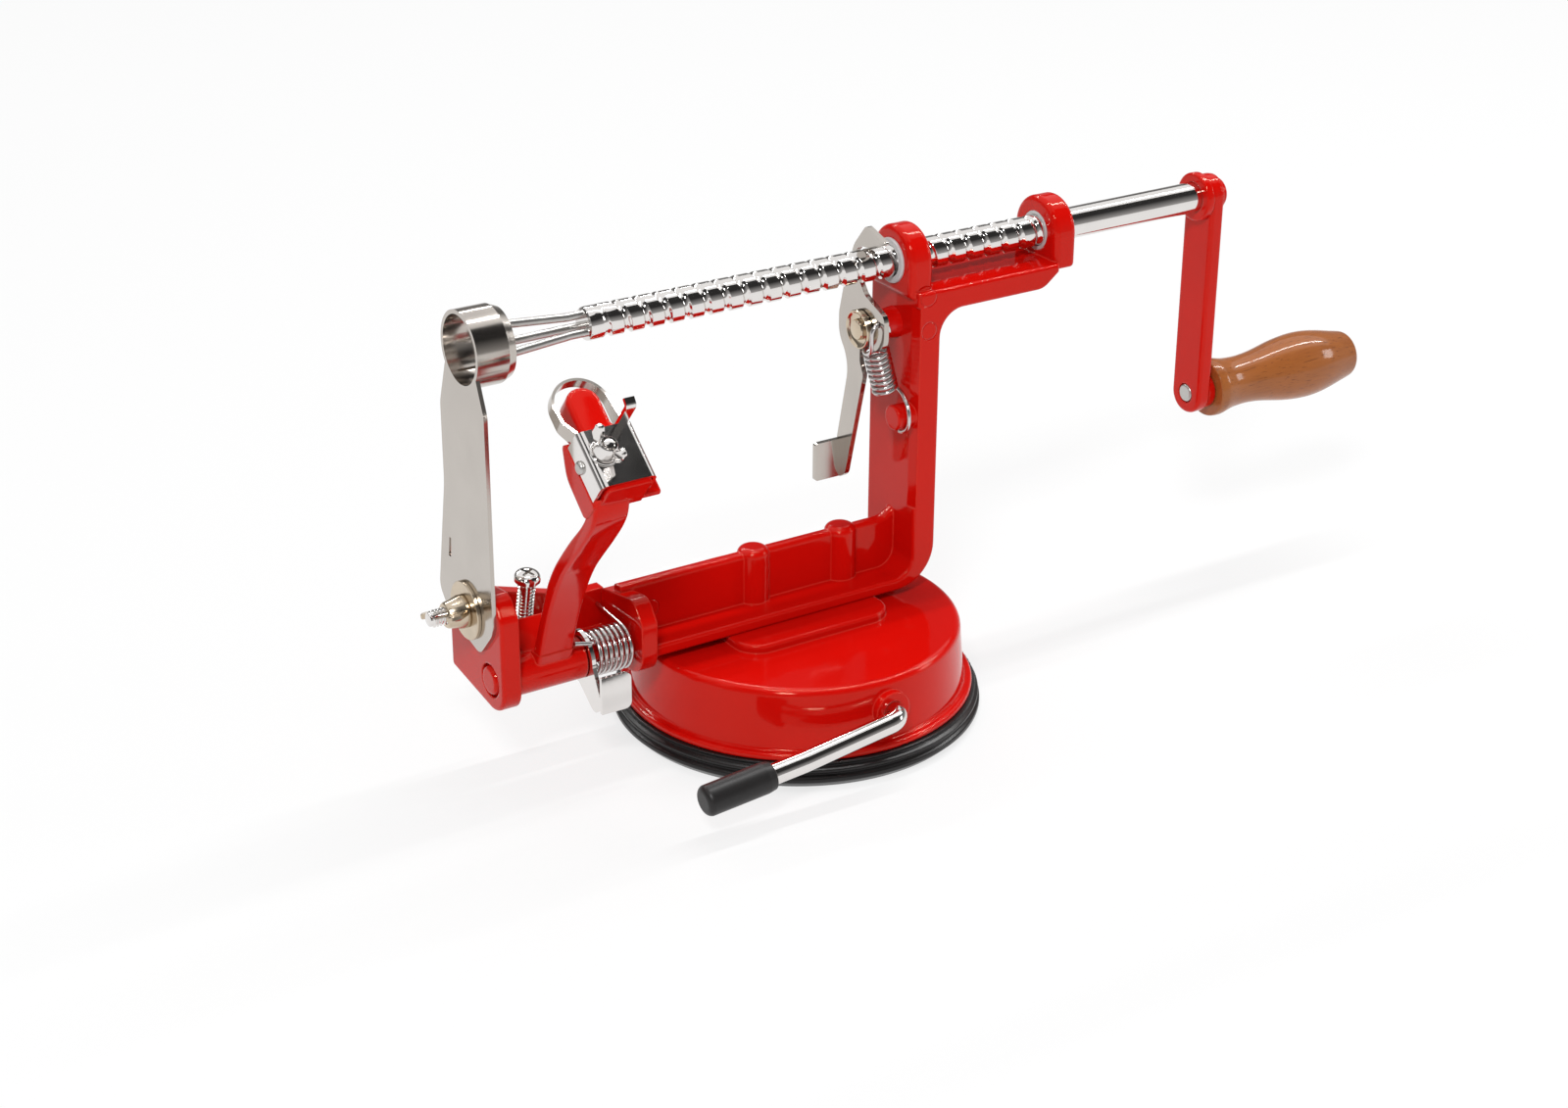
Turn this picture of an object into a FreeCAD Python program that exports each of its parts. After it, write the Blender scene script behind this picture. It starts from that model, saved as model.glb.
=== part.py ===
# Hand-cranked apple peeler, slicer and corer on a suction base.
# Millimetres, +Z up. The origin is the centre of the suction pad on the table.
# +X runs along the shaft from the fruit to the crank, -Y is the side of the peeling arm.
import FreeCAD
import Part
import math
import os
from FreeCAD import Rotation, Vector

# Clearances and finish
RUNNING_FIT = 0.05
LOOSE_FIT = 0.3
EDGE_ROUND = 1.0

# Suction pad and its lifting stud
PAD_RADIUS = 55.0
PAD_RIM_TOP = 8.0
PAD_DOME = 3.0
PAD_WEB = 3.0
PAD_LIFT = 2.2
STEM_RADIUS = 4.0
STUD_HEAD_RADIUS = 8.0
STUD_HEAD = 2.4
POCKET_LIP = 2.2
EYE_WALL = 1.6
EYE_THICK = 6.0

# Base cup
CUP_INSET = 5.0
CUP_LIP = 2.5
CUP_TAPER = 1.5
CUP_TOP = 28.3
CUP_WALL = 2.5
CUP_FLANGE = 2.0
PLINTH_RISE = 2.5
PLINTH_X = (-27.0, 24.5)
PLINTH_Y = (-16.5, 20.5)
PLINTH_CORNER = 8.0
HANGER_Y = 13.0
HANGER_THICK = 6.0
LEVER_BUSH_LENGTH = 6.0
LEVER_BUSH_PROUD = 1.2

# Suction lever
LEVER_DROP = 8.8
LEVER_RADIUS = 3.0
LEVER_REACH = 66.0
LEVER_SAG = 6.4
CAM_RADIUS = 4.6
CAP_RADIUS = 4.5
CAP_LENGTH = 22.0

# Shaft line and frame casting
SHAFT_Y = 6.0
SHAFT_Z = 131.0
SHAFT_RADIUS = 4.75
FRAME_WIDTH = 24.8
BEAM_THICK = 3.7
WEB_THICK = 4.0
WEB_HEIGHT = 15.8
POST_X = 37.0
POST_THICK = 8.0
POST_CREASE = 0.8
OUTER_CORNER = 13.0
INNER_CORNER = 6.0
TRAY_DROP = 7.2
TRAY_THICK = 6.8
HEAD_FOOT = 2.4
HEAD_RADIUS = 10.4
HEAD_THICK = 7.8
HEAD_PROUD = 1.6
REAR_HEAD_X = 87.2
FRAME_SCREW_X = (-11.5, 19.0)
FRAME_SCREW_RADIUS = 2.5
FRAME_SCREW_HEAD = 4.2
FRAME_SCREW_GRIP = 11.2
SCREW_BOSS_RADIUS = 4.8

# Clevis of the peeling arm: two ears, the wall and the floor between them
CLEVIS_CLEAR = 9.5
CLEVIS_SPAN = 44.0
LEFT_EAR_THICK = 5.6
RIGHT_EAR_THICK = 5.0
CLEVIS_WALL = 4.0
CLEVIS_WALL_RISE = (21.5, 11.5)
PIVOT_Y = -1.8
PIVOT_RISE = 0.9
PIVOT_RADIUS = 3.0
PIN_HEAD_RADIUS = 4.8
PIN_RECESS = 1.6
EAR_LOBE_RADIUS = 9.5

# Bearing bushes
BUSH_RADIUS = 5.9
BUSH_FLANGE_RADIUS = 6.7
BUSH_FLANGE = 0.8

# Shaft, fruit fork, crank and handle
FRUIT_END_SET = 8.0
SHAFT_TENON = 3.6
PRONG_RADIUS = 1.2
PRONG_SEAT_CIRCLE = 2.9
PRONG_CIRCLE = 4.6
PRONG_LENGTH = 24.0
PRONG_GRIP = 8.0
PRONG_KNEE = 5.0
PRONG_POINT = 3.6
PRONG_BLUNT = 0.4
PRONG_COUNT = 3
CRANK_X = 150.5
CRANK_THICK = 5.0
CRANK_WIDTH = 13.0
CRANK_THROW = 65.5
CRANK_BOSS = 2.6
CRANK_SCREW_RADIUS = 2.0
CRANK_SCREW_HEAD = 5.0
COLLAR_WALL = 2.8
HANDLE_RADIUS = 11.0
HANDLE_LENGTH = 59.5
HANDLE_AXLE_RADIUS = 2.2
HANDLE_AXLE_HEAD = 2.9
HANDLE_GAP = 0.4

# Peeling arm and its stop screw
ARM_SET = 21.0
ARM_WIDTH = 11.0
ARM_THICK = 5.2
ARM_KNEE = (-22.2, 76.6)
HUB_RADIUS = 6.2
HUB_ENDS = (5.9, 4.5)
LUG_PROUD = 2.0
LUG_WIDTH = 9.5
LUG_THICK = 8.4
STOP_INSET = 3.5
STOP_SCREW_RADIUS = 2.5
STOP_SCREW_HEAD = 3.8
STOP_FOOT_REACH = 10.8
STOP_FOOT_RISE = 2.0
STOP_SCREW_LENGTH = 23.1
STOP_LEAN = 12.0

# Peeling blade, its holder and the head of the arm
HEAD_TILT = 39.2
PLATE_NEAR_Y = -46.9
PLATE_DROP = 23.1
HOLDER_SIDE = 16.8
HOLDER_SHEET = 1.0
HOLDER_FLANGE = 8.0
HOLDER_BEND = 1.1
TAB_HEIGHT = 9.5
TAB_WIDTH = 3.0
HEAD_GAP = 0.15
HEAD_CORE_DEPTH = 10.0
HEAD_OVERHANG = 9.0
NOSE_WIDTH = 9.6
NOSE_REACH = 13.5
NOSE_DEPTH = 7.0
BLADE_STRIP = 0.8
BLADE_REACH = 17.5
BLADE_BULGE = 2.0
BLADE_EDGE = 3.4
RIVET_RADIUS = 1.0
RIVET_ALONG = 9.6
RIVET_DEPTH = 6.0
HOLDER_BOLT_INSET = 4.8
HOLDER_BOLT_ALONG = 9.4
HOLDER_BOLT_RADIUS = 2.0
HOLDER_BOLT_DEPTH = 7.0
HOLDER_BOLT_RISE = 5.3
HOLDER_WASHER = 0.8

# Slicing blade and coring ring
SLICER_SHEET = 1.2
CORER_BORE = 9.75
CORER_LENGTH = 12.0
SLICER_BOLT_Y = 8.0
SLICER_BOLT_RISE = 18.1
SLICER_BOLT_RADIUS = 2.5
SLICER_BOLT_REACH = 13.5
SLICER_WASHER = 1.2

# Arm latch and torsion spring on the pivot pin
LATCH_SHEET = 1.2
LATCH_RADIUS = 8.1
ARM_SPRING_SET = 1.4
ARM_SPRING_RADIUS = 6.2
ARM_SPRING_WIRE = 1.2
ARM_SPRING_PITCH = 1.65
ARM_SPRING_TURNS = 7

# Thread pawl, its screw and its extension spring
PAWL_X = 26.0
PAWL_SHEET = 1.6
PAWL_PIVOT_Y = 6.5
PAWL_PIVOT_DROP = 19.4
PAWL_DROP = 52.0
PAWL_SCREW_RADIUS = 2.0
PAWL_SCREW_GRIP = 6.0
PAWL_CUP_RADIUS = 5.0
TAB_REACH = 8.6
HOOK_Y = -1.8
HOOK_RISE = 3.9
HOOK_HOLE = 1.1
HOOK_RADIUS = 3.0
STUD_Y = -2.0
STUD_DROP = 45.6
STUD_RADIUS = 3.8
STUD_REACH = 5.7
COIL_TOP = (28.4, 2.5, -25.7)
COIL_BOTTOM = (32.3, 2.5, -39.6)
PAWL_SPRING_RADIUS = 3.4
PAWL_SPRING_WIRE = 1.2
PAWL_SPRING_TURNS = 8.5

# Sizes and places that follow from the ones above
AXIS_X = Vector(1, 0, 0)
AXIS_Y = Vector(0, 1, 0)
AXIS_Z = Vector(0, 0, 1)
CUP_FOOT_RADIUS = PAD_RADIUS - CUP_INSET
CUP_FLANGE_RADIUS = CUP_FOOT_RADIUS + CUP_LIP
CUP_TOP_RADIUS = CUP_FOOT_RADIUS - CUP_TAPER
POCKET_RADIUS = STUD_HEAD_RADIUS + LOOSE_FIT
POCKET_FLOOR = PAD_DOME + PAD_WEB / 2
POCKET_TOP = POCKET_FLOOR + STUD_HEAD + PAD_LIFT + LOOSE_FIT
CAM_THROW = PAD_LIFT / 2
EYE_INNER = CAM_RADIUS + CAM_THROW + LOOSE_FIT
LEVER_Z = CUP_TOP - LEVER_DROP
LEVER_PLANE = -PAD_RADIUS - 1
LEVER_ELBOW = -LEVER_PLANE - CUP_FOOT_RADIUS - LEVER_BUSH_PROUD - LOOSE_FIT
BEAM_BOTTOM = CUP_TOP + PLINTH_RISE
BEAM_TOP = BEAM_BOTTOM + BEAM_THICK
WEB_TOP = BEAM_TOP + WEB_HEIGHT
FRAME_FRONT = SHAFT_Y - FRAME_WIDTH / 2
FRAME_BACK = SHAFT_Y + FRAME_WIDTH / 2
POST_BACK_X = POST_X + POST_THICK
RIGHT_EAR_X = -CUP_TOP_RADIUS - CLEVIS_CLEAR
LEFT_EAR_X = RIGHT_EAR_X - CLEVIS_SPAN
SHAFT_FRUIT_END = RIGHT_EAR_X - FRUIT_END_SET
ARM_X = (RIGHT_EAR_X - ARM_SET - ARM_WIDTH, RIGHT_EAR_X - ARM_SET)
HUB_X = (ARM_X[0] - HUB_ENDS[0], ARM_X[1] + HUB_ENDS[1])
LUG_X = (ARM_X[0] - LUG_PROUD, ARM_X[0] - LUG_PROUD + LUG_WIDTH)
STOP_X = ARM_X[0] + STOP_INSET
HOLDER_X = ARM_X[0]
HOLDER_BOLT_X = HOLDER_X + HOLDER_BOLT_INSET
HEAD_RIGHT_X = ARM_X[1] + HEAD_OVERHANG
LATCH_X = HUB_X[1] + LOOSE_FIT
ARM_SPRING_X = LATCH_X + LATCH_SHEET + ARM_SPRING_SET
FRONT_HEAD_X = POST_X - HEAD_PROUD
TRAY_TOP = SHAFT_Z - TRAY_DROP
HEAD_BOTTOM = TRAY_TOP - HEAD_FOOT
SHAFT_LINE = Vector(0, SHAFT_Y, SHAFT_Z)
PIVOT_Z = BEAM_TOP + PIVOT_RISE
PIVOT_LINE = Vector(0, PIVOT_Y, PIVOT_Z)
FRAME_SCREW_TIP = BEAM_BOTTOM + FRAME_SCREW_GRIP
SLICER_BOLT_Z = PIVOT_Z + SLICER_BOLT_RISE
PLATE_NEAR_Z = SHAFT_Z - PLATE_DROP
STOP_FOOT = Vector(STOP_X, PIVOT_Y + STOP_FOOT_REACH, PIVOT_Z + STOP_FOOT_RISE)
PAWL_PIVOT_Z = SHAFT_Z - PAWL_PIVOT_DROP
PAWL_HOOK = Vector(PAWL_X + PAWL_SHEET / 2, HOOK_Y, PAWL_PIVOT_Z + HOOK_RISE)
PAWL_NOTCH = SHAFT_RADIUS + LOOSE_FIT
STUD_Z = SHAFT_Z - STUD_DROP
STUD_TIP_X = POST_X - STUD_REACH


def yz_plane(x):
    """Map (y, z) in the plane at x to space."""
    return lambda u, v: Vector(x, u, v)


def xz_plane(y):
    """Map (x, z) in the plane at y to space."""
    return lambda u, v: Vector(u, y, v)


def xy_plane(z):
    """Map (x, y) in the plane at z to space."""
    return lambda u, v: Vector(u, v, z)


def rounded_wire(corners, to_space):
    """Closed wire through (u, v, corner radius) points."""
    starts = []
    middles = []
    ends = []
    count = len(corners)
    for i, (u, v, radius) in enumerate(corners):
        here = Vector(u, v, 0)
        back = (Vector(*corners[i - 1][:2], 0) - here).normalize()
        ahead = (Vector(*corners[(i + 1) % count][:2], 0) - here).normalize()
        half = back.getAngle(ahead) / 2
        if radius <= 0 or half > math.pi / 2 - 1e-4:
            starts.append(here)
            middles.append(None)
            ends.append(here)
            continue
        setback = radius / math.tan(half)
        bisector = (back + ahead).normalize()
        starts.append(here + back * setback)
        ends.append(here + ahead * setback)
        middles.append(here + bisector * (radius / math.sin(half) - radius))
    edges = []
    for i in range(count):
        a, m, b = starts[i], middles[i], ends[i]
        if m is not None:
            points = [to_space(p.x, p.y) for p in (a, m, b)]
            edges.append(Part.Arc(*points).toShape())
        after = starts[(i + 1) % count]
        if b.distanceToPoint(after) > 1e-5:
            edges.append(Part.makeLine(to_space(b.x, b.y), to_space(after.x, after.y)))
    return Part.Wire(edges)


def plate(corners, to_space, thickness):
    """Flat piece with a rounded outline, thickened along a vector."""
    return Part.Face(rounded_wire(corners, to_space)).extrude(thickness)


def strip_outline(path, thickness):
    """Corners of the closed outline of a strip bent along (u, v, centre radius) points."""
    left = []
    right = []
    last = len(path) - 1
    for i, (u, v, radius) in enumerate(path):
        here = Vector(u, v, 0)
        before = Vector(*path[max(i - 1, 0)][:2], 0)
        after = Vector(*path[min(i + 1, last)][:2], 0)
        into = (here - before) if i else (after - here)
        out = (after - here) if i < last else (here - before)
        into.normalize()
        out.normalize()
        n_in = Vector(-into.y, into.x, 0)
        n_out = Vector(-out.y, out.x, 0)
        mitre = (n_in + n_out) * (thickness / 2 / (1 + n_in.dot(n_out)))
        side = 1 if into.cross(out).z > 0 else -1
        left_radius = radius - side * thickness / 2 if radius else 0
        right_radius = radius + side * thickness / 2 if radius else 0
        left.append((here.x + mitre.x, here.y + mitre.y, left_radius))
        right.append((here.x - mitre.x, here.y - mitre.y, right_radius))
    return left + right[::-1]


def strip(path, thickness, to_space, width):
    """Strip bent along a path and as wide as the vector width."""
    return plate(strip_outline(path, thickness), to_space, width)


def turned(profile, base, direction):
    """Solid of revolution of (radius, height, corner radius) points about base and direction."""
    face = Part.Face(rounded_wire(profile, xz_plane(0)))
    solid = face.revolve(Vector(), AXIS_Z, 360)
    solid.rotate(Vector(), *axis_angle(direction))
    solid.translate(base)
    return solid


def axis_angle(direction):
    """Axis and angle in degrees that turn +Z onto direction."""
    rotation = Rotation(AXIS_Z, direction)
    return rotation.Axis, math.degrees(rotation.Angle)


def rod(radius, start, end):
    """Straight round bar between two points."""
    return Part.makeCylinder(radius, start.distanceToPoint(end), start, end - start)


def drilled(shape, radius, start, end):
    """Shape with a round hole from start to end."""
    return shape.cut(rod(radius, start, end))


def tapped(shape, holes):
    """Shape with several (radius, start, end) holes."""
    for radius, start, end in holes:
        shape = drilled(shape, radius, start, end)
    return shape


def fillet_edges(shape, radius, chosen):
    """Round the edges whose middle point passes the test, as far as they allow it."""
    edges = [e for e in shape.Edges if chosen(e.CenterOfMass, e)]
    return shape.makeFillet(radius, edges) if edges else shape


def arc_from_tangent(start, tangent, end):
    """Arc that leaves start along tangent and reaches end, with its tangent there."""
    chord = end - start
    along = Vector(chord).normalize()
    away = tangent - along * tangent.dot(along)
    if away.Length < 1e-7:
        return Part.makeLine(start, end), Vector(tangent)
    away.normalize()
    angle = tangent.getAngle(chord)
    middle = (start + end) * 0.5 + away * (chord.Length / 2 * math.tan(angle / 2))
    leaving = along * (2 * tangent.dot(along)) - tangent
    return Part.Arc(start, middle, end).toShape(), leaving


def biarc(start, t_start, end, t_end):
    """Two tangent arcs between two points with given tangents."""
    chord = end - start
    total = t_start + t_end
    bend = 2 * (1 - t_start.dot(t_end))
    along = chord.dot(total)
    if bend < 1e-9:
        return [Part.makeLine(start, end)]
    reach = (-along + math.sqrt(along * along + bend * chord.dot(chord))) / bend
    joint = (start + end + (t_start - t_end) * reach) * 0.5
    first, tangent = arc_from_tangent(start, t_start, joint)
    second, tangent = arc_from_tangent(joint, tangent, end)
    return [first, second]


def helix_point(frame, radius, pitch, turn):
    """Point and unit tangent of a helix at a number of turns; frame is (base, u, v, axis)."""
    base, u, v, axis = frame
    angle = 2 * math.pi * turn
    point = base + u * (radius * math.cos(angle)) + v * (radius * math.sin(angle)) + axis * (pitch * turn)
    tangent = v * math.cos(angle) - u * math.sin(angle) + axis * (pitch / (2 * math.pi * radius))
    return point, tangent.normalize()


def helix_edges(frame, radius, pitch, first_turn, last_turn):
    """Biarcs of at most a quarter turn along a helix."""
    steps = math.ceil((last_turn - first_turn) * 4 - 1e-6)
    edges = []
    for i in range(steps):
        a = first_turn + (last_turn - first_turn) * i / steps
        b = first_turn + (last_turn - first_turn) * (i + 1) / steps
        start, t_start = helix_point(frame, radius, pitch, a)
        end, t_end = helix_point(frame, radius, pitch, b)
        edges += biarc(start, t_start, end, t_end)
    return edges


def wire_tube(edges, radius):
    """Round wire of one unbroken tube along tangent edges."""
    path = Part.Wire(edges)
    first = edges[0]
    start = first.Vertexes[0].Point
    tangent = first.tangentAt(first.FirstParameter)
    section = Part.Wire([Part.Circle(start, tangent, radius).toShape()])
    return path.makePipeShell([section], True, False)


def report_gap(name, edges, radius):
    """Print the least gap between turns, measured on points of the centre line."""
    points = []
    for edge in edges:
        points += edge.discretize(Number=6)[:-1]
    step = 8
    closest = min(
        a.distanceToPoint(b)
        for i, a in enumerate(points)
        for b in points[i + step:]
    )
    print(name, "least gap between turns", round(closest - 2 * radius, 2), "mm")


def bent_path(points):
    """Straight runs with tangent bends through (point, bend radius) entries."""
    edges = []
    previous = points[0][0]
    for i in range(1, len(points) - 1):
        corner, bend = points[i]
        back = (points[i - 1][0] - corner).normalize()
        ahead = (points[i + 1][0] - corner).normalize()
        half = back.getAngle(ahead) / 2
        setback = bend / math.tan(half)
        centre_side = (back + ahead).normalize()
        middle = corner + centre_side * (bend / math.sin(half) - bend)
        start = corner + back * setback
        end = corner + ahead * setback
        edges.append(Part.makeLine(previous, start))
        edges.append(Part.Arc(start, middle, end).toShape())
        previous = end
    edges.append(Part.makeLine(previous, points[-1][0]))
    return edges


def bent_rod(points, radius):
    """Round bar along (point, bend radius) entries."""
    return wire_tube(bent_path(points), radius)


def suction_pad():
    """Rubber pad: ridged rim, shallow dome underneath and a pocket for the lifting stud."""
    rim = PAD_RADIUS
    web_top = PAD_DOME + PAD_WEB
    cup_inside = CUP_FOOT_RADIUS - CUP_WALL
    profile = [
        (0, PAD_DOME, 0),
        (rim - 6, 0, 2),
        (rim - 2.4, 0, 1),
        (rim, 2.4, 0.8),
        (rim, 3.6, 0.6),
        (rim - 1.5, 4.5, 0.4),
        (rim - 0.5, 5.3, 0.4),
        (rim - 0.5, 6.0, 0.4),
        (rim - 1.9, 6.7, 0.4),
        (rim - 1.2, PAD_RIM_TOP, 0.3),
        (cup_inside, PAD_RIM_TOP, 0.5),
        (cup_inside - 2, web_top, 1),
        (POCKET_RADIUS + 4.5, web_top, 2),
        (POCKET_RADIUS + 3.0, POCKET_TOP + POCKET_LIP, 1),
        (0, POCKET_TOP + POCKET_LIP, 0),
    ]
    pad = turned(profile, Vector(), AXIS_Z)
    floor = Vector(0, 0, POCKET_FLOOR)
    pad = drilled(pad, POCKET_RADIUS, floor, Vector(0, 0, POCKET_TOP))
    return drilled(pad, STEM_RADIUS + LOOSE_FIT, floor, Vector(0, 0, POCKET_TOP + 2 * POCKET_LIP))


def pad_stud():
    """Steel stud buttoned into the pad, with a slotted eye that rides on the lever's cam."""
    head_bottom = POCKET_TOP - STUD_HEAD - LOOSE_FIT / 2
    head = turned(
        [
            (0, 0, 0),
            (STUD_HEAD_RADIUS, 0, 0.5),
            (STUD_HEAD_RADIUS, STUD_HEAD, 0.5),
            (0, STUD_HEAD, 0),
        ],
        Vector(0, 0, head_bottom),
        AXIS_Z,
    )
    eye_centre = LEVER_Z + CAM_THROW
    slot_half = CAM_RADIUS + LOOSE_FIT
    eye_top = eye_centre + slot_half + EYE_WALL
    eye_bottom = eye_centre - slot_half - EYE_WALL
    half = EYE_INNER + EYE_WALL
    stem_foot = Vector(0, 0, head_bottom + STUD_HEAD / 2)
    stem = rod(STEM_RADIUS, stem_foot, Vector(0, 0, eye_bottom + EYE_WALL / 2))
    outline = [
        (-half, eye_bottom, 3),
        (half, eye_bottom, 3),
        (half, eye_top, 3),
        (-half, eye_top, 3),
    ]
    eye = plate(outline, xz_plane(-EYE_THICK / 2), AXIS_Y * EYE_THICK)
    slot_corner = slot_half - 0.6
    slot = [
        (-EYE_INNER, eye_centre - slot_half, slot_corner),
        (EYE_INNER, eye_centre - slot_half, slot_corner),
        (EYE_INNER, eye_centre + slot_half, slot_corner),
        (-EYE_INNER, eye_centre + slot_half, slot_corner),
    ]
    eye = eye.cut(plate(slot, xz_plane(-EYE_THICK), AXIS_Y * 2 * EYE_THICK))
    return head.fuse([stem, eye]).removeSplitter()


def base_cup():
    """Die-cast cup over the pad, with a plinth for the frame and bearings for the lever."""
    inner_top = CUP_TOP - CUP_WALL
    flange_top = PAD_RIM_TOP + CUP_FLANGE
    profile = [
        (CUP_FOOT_RADIUS - CUP_WALL, PAD_RIM_TOP, 0),
        (CUP_FLANGE_RADIUS, PAD_RIM_TOP, 0.5),
        (CUP_FLANGE_RADIUS, flange_top, 0.8),
        (CUP_FOOT_RADIUS, flange_top, 0.8),
        (CUP_TOP_RADIUS, CUP_TOP, 2.0),
        (0, CUP_TOP, 0),
        (0, inner_top, 0),
        (CUP_TOP_RADIUS - CUP_WALL, inner_top, 1.5),
    ]
    cup = turned(profile, Vector(), AXIS_Z)
    plinth = plinth_block(0, inner_top, BEAM_BOTTOM)
    plinth = fillet_edges(plinth, EDGE_ROUND, lambda c, e: c.z > BEAM_BOTTOM - 0.01)
    cup = cup.fuse(plinth).removeSplitter()
    cup = cup.cut(plinth_block(-CUP_WALL, inner_top - 1, BEAM_BOTTOM - CUP_WALL))
    cup = cup.fuse([lever_hanger(), lever_bush()])
    lever_start = Vector(0, HANGER_Y + HANGER_THICK + 1, LEVER_Z)
    lever_end = Vector(0, -CUP_FOOT_RADIUS - 5, LEVER_Z)
    holes = [(LEVER_RADIUS + RUNNING_FIT, lever_start, lever_end)]
    for x in FRAME_SCREW_X:
        foot = Vector(x, SHAFT_Y, inner_top - 1)
        seat = Vector(x, SHAFT_Y, BEAM_BOTTOM - CUP_WALL)
        top = Vector(x, SHAFT_Y, BEAM_BOTTOM + 1)
        holes.append((FRAME_SCREW_RADIUS + LOOSE_FIT / 2, foot, top))
        holes.append((FRAME_SCREW_HEAD + LOOSE_FIT, foot, seat))
    return tapped(cup, holes).removeSplitter()


def plinth_block(grow, bottom, top):
    """Rounded rectangle under the frame, grown or shrunk all round."""
    x0, x1 = PLINTH_X
    y0, y1 = PLINTH_Y
    corner = PLINTH_CORNER + grow
    corners = [
        (x0 - grow, y0 - grow, corner),
        (x1 + grow, y0 - grow, corner),
        (x1 + grow, y1 + grow, corner),
        (x0 - grow, y1 + grow, corner),
    ]
    return plate(corners, xy_plane(bottom), AXIS_Z * (top - bottom))


def lever_hanger():
    """Lug under the cup's top that carries the inner end of the lever rod."""
    half = LEVER_RADIUS + 3.5
    corners = [
        (-half, LEVER_Z - half, half - 0.1),
        (half, LEVER_Z - half, half - 0.1),
        (half + 2, BEAM_BOTTOM - 1, 0),
        (-half - 2, BEAM_BOTTOM - 1, 0),
    ]
    return plate(corners, xz_plane(HANGER_Y), AXIS_Y * HANGER_THICK)


def lever_bush():
    """Round boss through the cup's wall where the lever rod comes out."""
    start = Vector(0, -CUP_FOOT_RADIUS - LEVER_BUSH_PROUD, LEVER_Z)
    end = Vector(0, -CUP_FOOT_RADIUS + LEVER_BUSH_LENGTH, LEVER_Z)
    return rod(LEVER_RADIUS + 2.6, start, end)


def lever_line():
    """Kink of the lever rod beside the cup and the end of the rod inside its cap."""
    kink = Vector(-LEVER_REACH / 2, LEVER_PLANE, LEVER_Z - 0.7 * LEVER_SAG)
    tip = Vector(-LEVER_REACH + CAP_LENGTH / 2, LEVER_PLANE, LEVER_Z - LEVER_SAG)
    return kink, tip


def lever_rod():
    """Chrome rod of the suction lever, cranked down beside the cup, with its cam."""
    kink, tip = lever_line()
    points = [
        (Vector(0, HANGER_Y + HANGER_THICK, LEVER_Z), 0),
        (Vector(0, LEVER_PLANE, LEVER_Z), LEVER_ELBOW),
        (kink, 8 * LEVER_RADIUS),
        (tip, 0),
    ]
    bar = bent_rod(points, LEVER_RADIUS)
    cam_half = EYE_THICK / 2 + 1
    centre = LEVER_Z + CAM_THROW
    cam = rod(CAM_RADIUS, Vector(0, -cam_half, centre), Vector(0, cam_half, centre))
    return bar.fuse(cam).removeSplitter()


def lever_cap():
    """Soft vinyl cap pushed over the lever's end."""
    kink, tip = lever_line()
    along = (tip - kink).normalize()
    base = tip - along * (CAP_LENGTH / 2)
    profile = [
        (LEVER_RADIUS, 0, 0),
        (CAP_RADIUS - 0.4, 0, 0.4),
        (CAP_RADIUS, 2.5, 1),
        (CAP_RADIUS, CAP_LENGTH, 1.8),
        (0, CAP_LENGTH, 0),
        (0, CAP_LENGTH / 2, 0),
        (LEVER_RADIUS, CAP_LENGTH / 2, 0),
    ]
    return turned(profile, base, along)


def ear(x, thickness, front, back, top_front, top_back, bottom_back):
    """Cheek of the clevis, with a round lobe at the pivot pin; heights are above the pin."""
    lobe = EAR_LOBE_RADIUS
    corners = [
        (PIVOT_Y - lobe + 1.8, PIVOT_Z - lobe - 0.5, lobe - 2.2),
        (back, PIVOT_Z + bottom_back, 1.5),
        (back, PIVOT_Z + top_back, 2),
        (front + 5, PIVOT_Z + top_front, 5),
        (front, PIVOT_Z + top_front - 6, 4),
    ]
    return plate(corners, yz_plane(x), AXIS_X * thickness)


def left_ear():
    """Tall ear at the fruit's end, which also carries the slicing blade."""
    front = PIVOT_Y - 7.7
    cheek = ear(LEFT_EAR_X, LEFT_EAR_THICK, front, FRAME_BACK + 4.1, 26.6, 22.6, -5.4)
    return fillet_edges(cheek, EDGE_ROUND, lambda c, e: c.x < LEFT_EAR_X + 0.01)


def right_ear():
    """Low ear at the start of the beam."""
    return ear(RIGHT_EAR_X, RIGHT_EAR_THICK, PIVOT_Y - 8, FRAME_BACK - 4.4, 14.6, 11.1, -5.4)


def frame_spine():
    """Strap of the frame: beam, post and tray, with rounded rims and a creased post."""
    tray_bottom = TRAY_TOP - TRAY_THICK
    tray_end = REAR_HEAD_X + 0.5
    outline = [
        (RIGHT_EAR_X, BEAM_BOTTOM, 0),
        (POST_BACK_X, BEAM_BOTTOM, OUTER_CORNER),
        (POST_BACK_X, tray_bottom, 8),
        (REAR_HEAD_X - 5, tray_bottom, 6),
        (tray_end, HEAD_BOTTOM, 0),
        (tray_end, TRAY_TOP, 0),
        (POST_X, TRAY_TOP, 0),
        (POST_X, BEAM_TOP, INNER_CORNER),
        (RIGHT_EAR_X, BEAM_TOP, 0),
    ]
    spine = plate(outline, xz_plane(FRAME_FRONT), AXIS_Y * FRAME_WIDTH)
    spine = fillet_edges(spine, EDGE_ROUND, is_long_rim)
    crease_bottom = WEB_TOP + INNER_CORNER
    crease = plate(
        [
            (FRAME_FRONT, POST_X - 2, 0),
            (SHAFT_Y, POST_X - 2, 0),
            (FRAME_FRONT, POST_X + POST_CREASE, 0),
        ],
        lambda u, v: Vector(v, u, crease_bottom),
        AXIS_Z * (HEAD_BOTTOM - 2 - crease_bottom),
    )
    return spine.cut(crease)


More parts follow.
